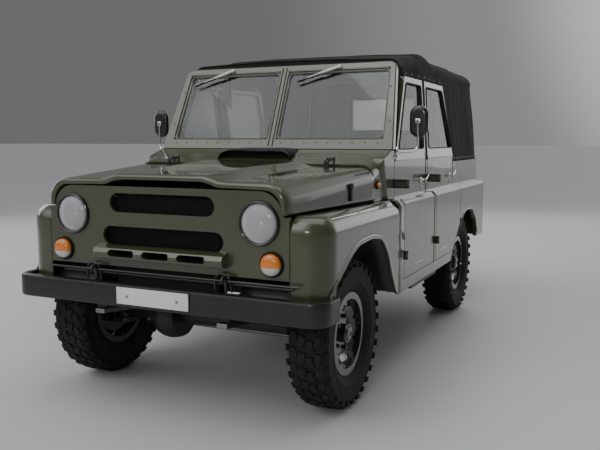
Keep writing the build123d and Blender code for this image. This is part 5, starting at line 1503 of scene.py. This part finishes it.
# ------------------------------------------------------------------ cab fittings
def cab():
    gauges = Shape()
    dash_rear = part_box("dashboard")[1].y
    tilt = Vector((0, 0.97, 0.22)).normalized()
    for x, radius, z in ((0.390, 0.052, 1.185), (0.270, 0.034, 1.180), (0.510, 0.034, 1.180),
                         (0.185, 0.026, 1.176)):
        gauges.turned([(radius, -0.012), (radius, 0.006), (radius - 0.004, 0.009), (radius - 0.007, 0.006),
                       (radius - 0.008, 0.002), (radius * 0.3, 0.002), (0.0, 0.003)],
                       (x, dash_rear - 0.016, z), tilt, 36)
    for k in range(5):
        gauges.turned([(0.009, -0.008), (0.009, 0.012), (0.007, 0.016), (0.0, 0.017)],
                      (0.02 + 0.045 * k, dash_rear - 0.006, 1.118), tilt, 18)
    gauges.piece("gauges_and_switches", black_gloss, "chassis", "black_plastic")
    trim = Shape()
    trim.block((-0.60, dash_rear - 0.020, 1.108), (-0.20, dash_rear + 0.001, 1.186), 0.006)
    trim.sweep(rounded_path([(-0.66, dash_rear - 0.010, 1.205), (-0.16, dash_rear - 0.010, 1.205)], 0.01,
                            closed=False), 0.010, 10)
    trim.piece("glove_box_lid", black_plastic, "chassis", "black_plastic")
    levers = Shape()
    for x, y, reach, lean in ((0.015, -0.500, 0.270, 0.06), (0.085, -0.440, 0.150, 0.03),
                              (-0.050, -0.440, 0.150, 0.03)):
        foot = Vector((x, y, 0.66))
        tip = foot + Vector((0.015, lean, reach + 0.06))
        levers.sweep(rounded_path([foot, foot + Vector((0, lean * 0.2, reach * 0.5)), tip], 0.05,
                                  closed=False), 0.007, 10)
        levers.turned([(0.006, -0.010), (0.014, -0.004), (0.019, 0.010), (0.018, 0.022), (0.011, 0.031),
                       (0.0, 0.033)],
                      tip, (0, 0, 1), 22)
        levers.turned([(0.055, -0.020), (0.050, -0.004), (0.034, 0.012), (0.030, 0.024), (0.016, 0.040),
                       (0.012, 0.052)],
                      foot + Vector((0, 0, -0.002)), (0, 0, 1), 24)
    levers.piece("gear_levers", seal_rubber, "chassis", "black_plastic")
    mirror = Shape()
    mirror.block((-0.10, -0.520, 1.720), (0.10, -0.505, 1.770), 0.010)
    mirror.sweep([(0, -0.548, 1.785), (0, -0.528, 1.775), (0, -0.512, 1.760)], 0.005, 8)
    mirror.piece("cab_mirror", black_plastic, "chassis", "black_plastic")


cab()


# ------------------------------------------------------------------ stage, light and camera
floor_size = 400.0
floor_mesh = bpy.data.meshes.new("floor")
half = floor_size / 2
floor_mesh.from_pydata([(-half, -half, 0), (half, -half, 0), (half, half, 0), (-half, half, 0)], [],
                       [(0, 1, 2, 3)])
floor = bpy.data.objects.new("floor", floor_mesh)
bpy.context.collection.objects.link(floor)
floor_material = material("floor_paint", (0.66, 0.66, 0.665), 0.6)
vary(floor_material, 0.35, 0.03, 0.50, 0.60)
floor_mesh.materials.append(floor_material)


def studio_world():
    """Grey studio with a soft bright patch behind the car's left side and one above its nose."""
    world = bpy.data.worlds.new("studio")
    bpy.context.scene.world = world
    world.use_nodes = True
    tree = world.node_tree
    coords = tree.nodes.new("ShaderNodeTexCoord")

    def patch(direction, stops):
        towards = tree.nodes.new("ShaderNodeVectorMath")
        towards.operation = "DOT_PRODUCT"
        towards.inputs[1].default_value = Vector(direction).normalized()
        tree.links.new(coords.outputs["Generated"], towards.inputs[0])
        ramp = tree.nodes.new("ShaderNodeValToRGB")
        ramp.color_ramp.interpolation = "EASE"
        ramp.color_ramp.elements.new(0.5)
        for element, (position, grey) in zip(ramp.color_ramp.elements, stops):
            element.position = position
            element.color = (grey, grey, grey * 1.02, 1)
        tree.links.new(towards.outputs["Value"], ramp.inputs["Fac"])
        return ramp.outputs["Color"]

    together = tree.nodes.new("ShaderNodeVectorMath")
    together.operation = "ADD"
    tree.links.new(patch((0.30, 0.95, 0.24), ((0.70, 0.150), (0.88, 0.26), (0.985, 0.85))),
                   together.inputs[0])
    tree.links.new(patch((-0.42, -0.60, 0.68), ((0.76, 0.0), (0.92, 0.9), (0.995, 2.2))), together.inputs[1])
    tree.links.new(together.outputs["Vector"], tree.nodes["Background"].inputs["Color"])
    tree.nodes["Background"].inputs["Strength"].default_value = 1.0


studio_world()


def area_light(name, place, target, size, power):
    data = bpy.data.lights.new(name, "AREA")
    data.shape = "RECTANGLE"
    data.size, data.size_y = size
    data.energy = power
    light = bpy.data.objects.new(name, data)
    bpy.context.collection.objects.link(light)
    light.location = place
    light.rotation_euler = (Vector(target) - Vector(place)).to_track_quat("-Z", "Y").to_euler()


area_light("overhead", (0.5, -1.0, 6.5), (0, -0.3, 0.8), (7.0, 5.0), 130)
area_light("front_fill", (1.5, -8.5, 3.2), (0, -1.0, 0.9), (1.6, 0.9), 60)
area_light("left_panel", (5.5, 9.0, 3.0), (0, 0, 0.9), (6.0, 4.5), 45)
area_light("right_panel", (-8.0, 1.0, 3.5), (0, 0, 0.9), (6.0, 4.0), 130)
area_light("back_panel", (-1.5, 8.5, 4.0), (0, 0, 1.0), (5.0, 3.0), 100)

camera_data = bpy.data.cameras.new("camera")
camera_data.sensor_width = 36.0
camera_data.lens = 43.4
camera = bpy.data.objects.new("camera", camera_data)
bpy.context.collection.objects.link(camera)
camera.location = (2.085, -4.801, 1.355)
azimuth, down, roll = radians(25.02), radians(6.69), radians(0.05)
camera.rotation_euler = (Matrix.Rotation(azimuth, 3, "Z") @ Matrix.Rotation(pi / 2 - down, 3, "X")
                         @ Matrix.Rotation(roll, 3, "Z")).to_euler()
bpy.context.scene.camera = camera
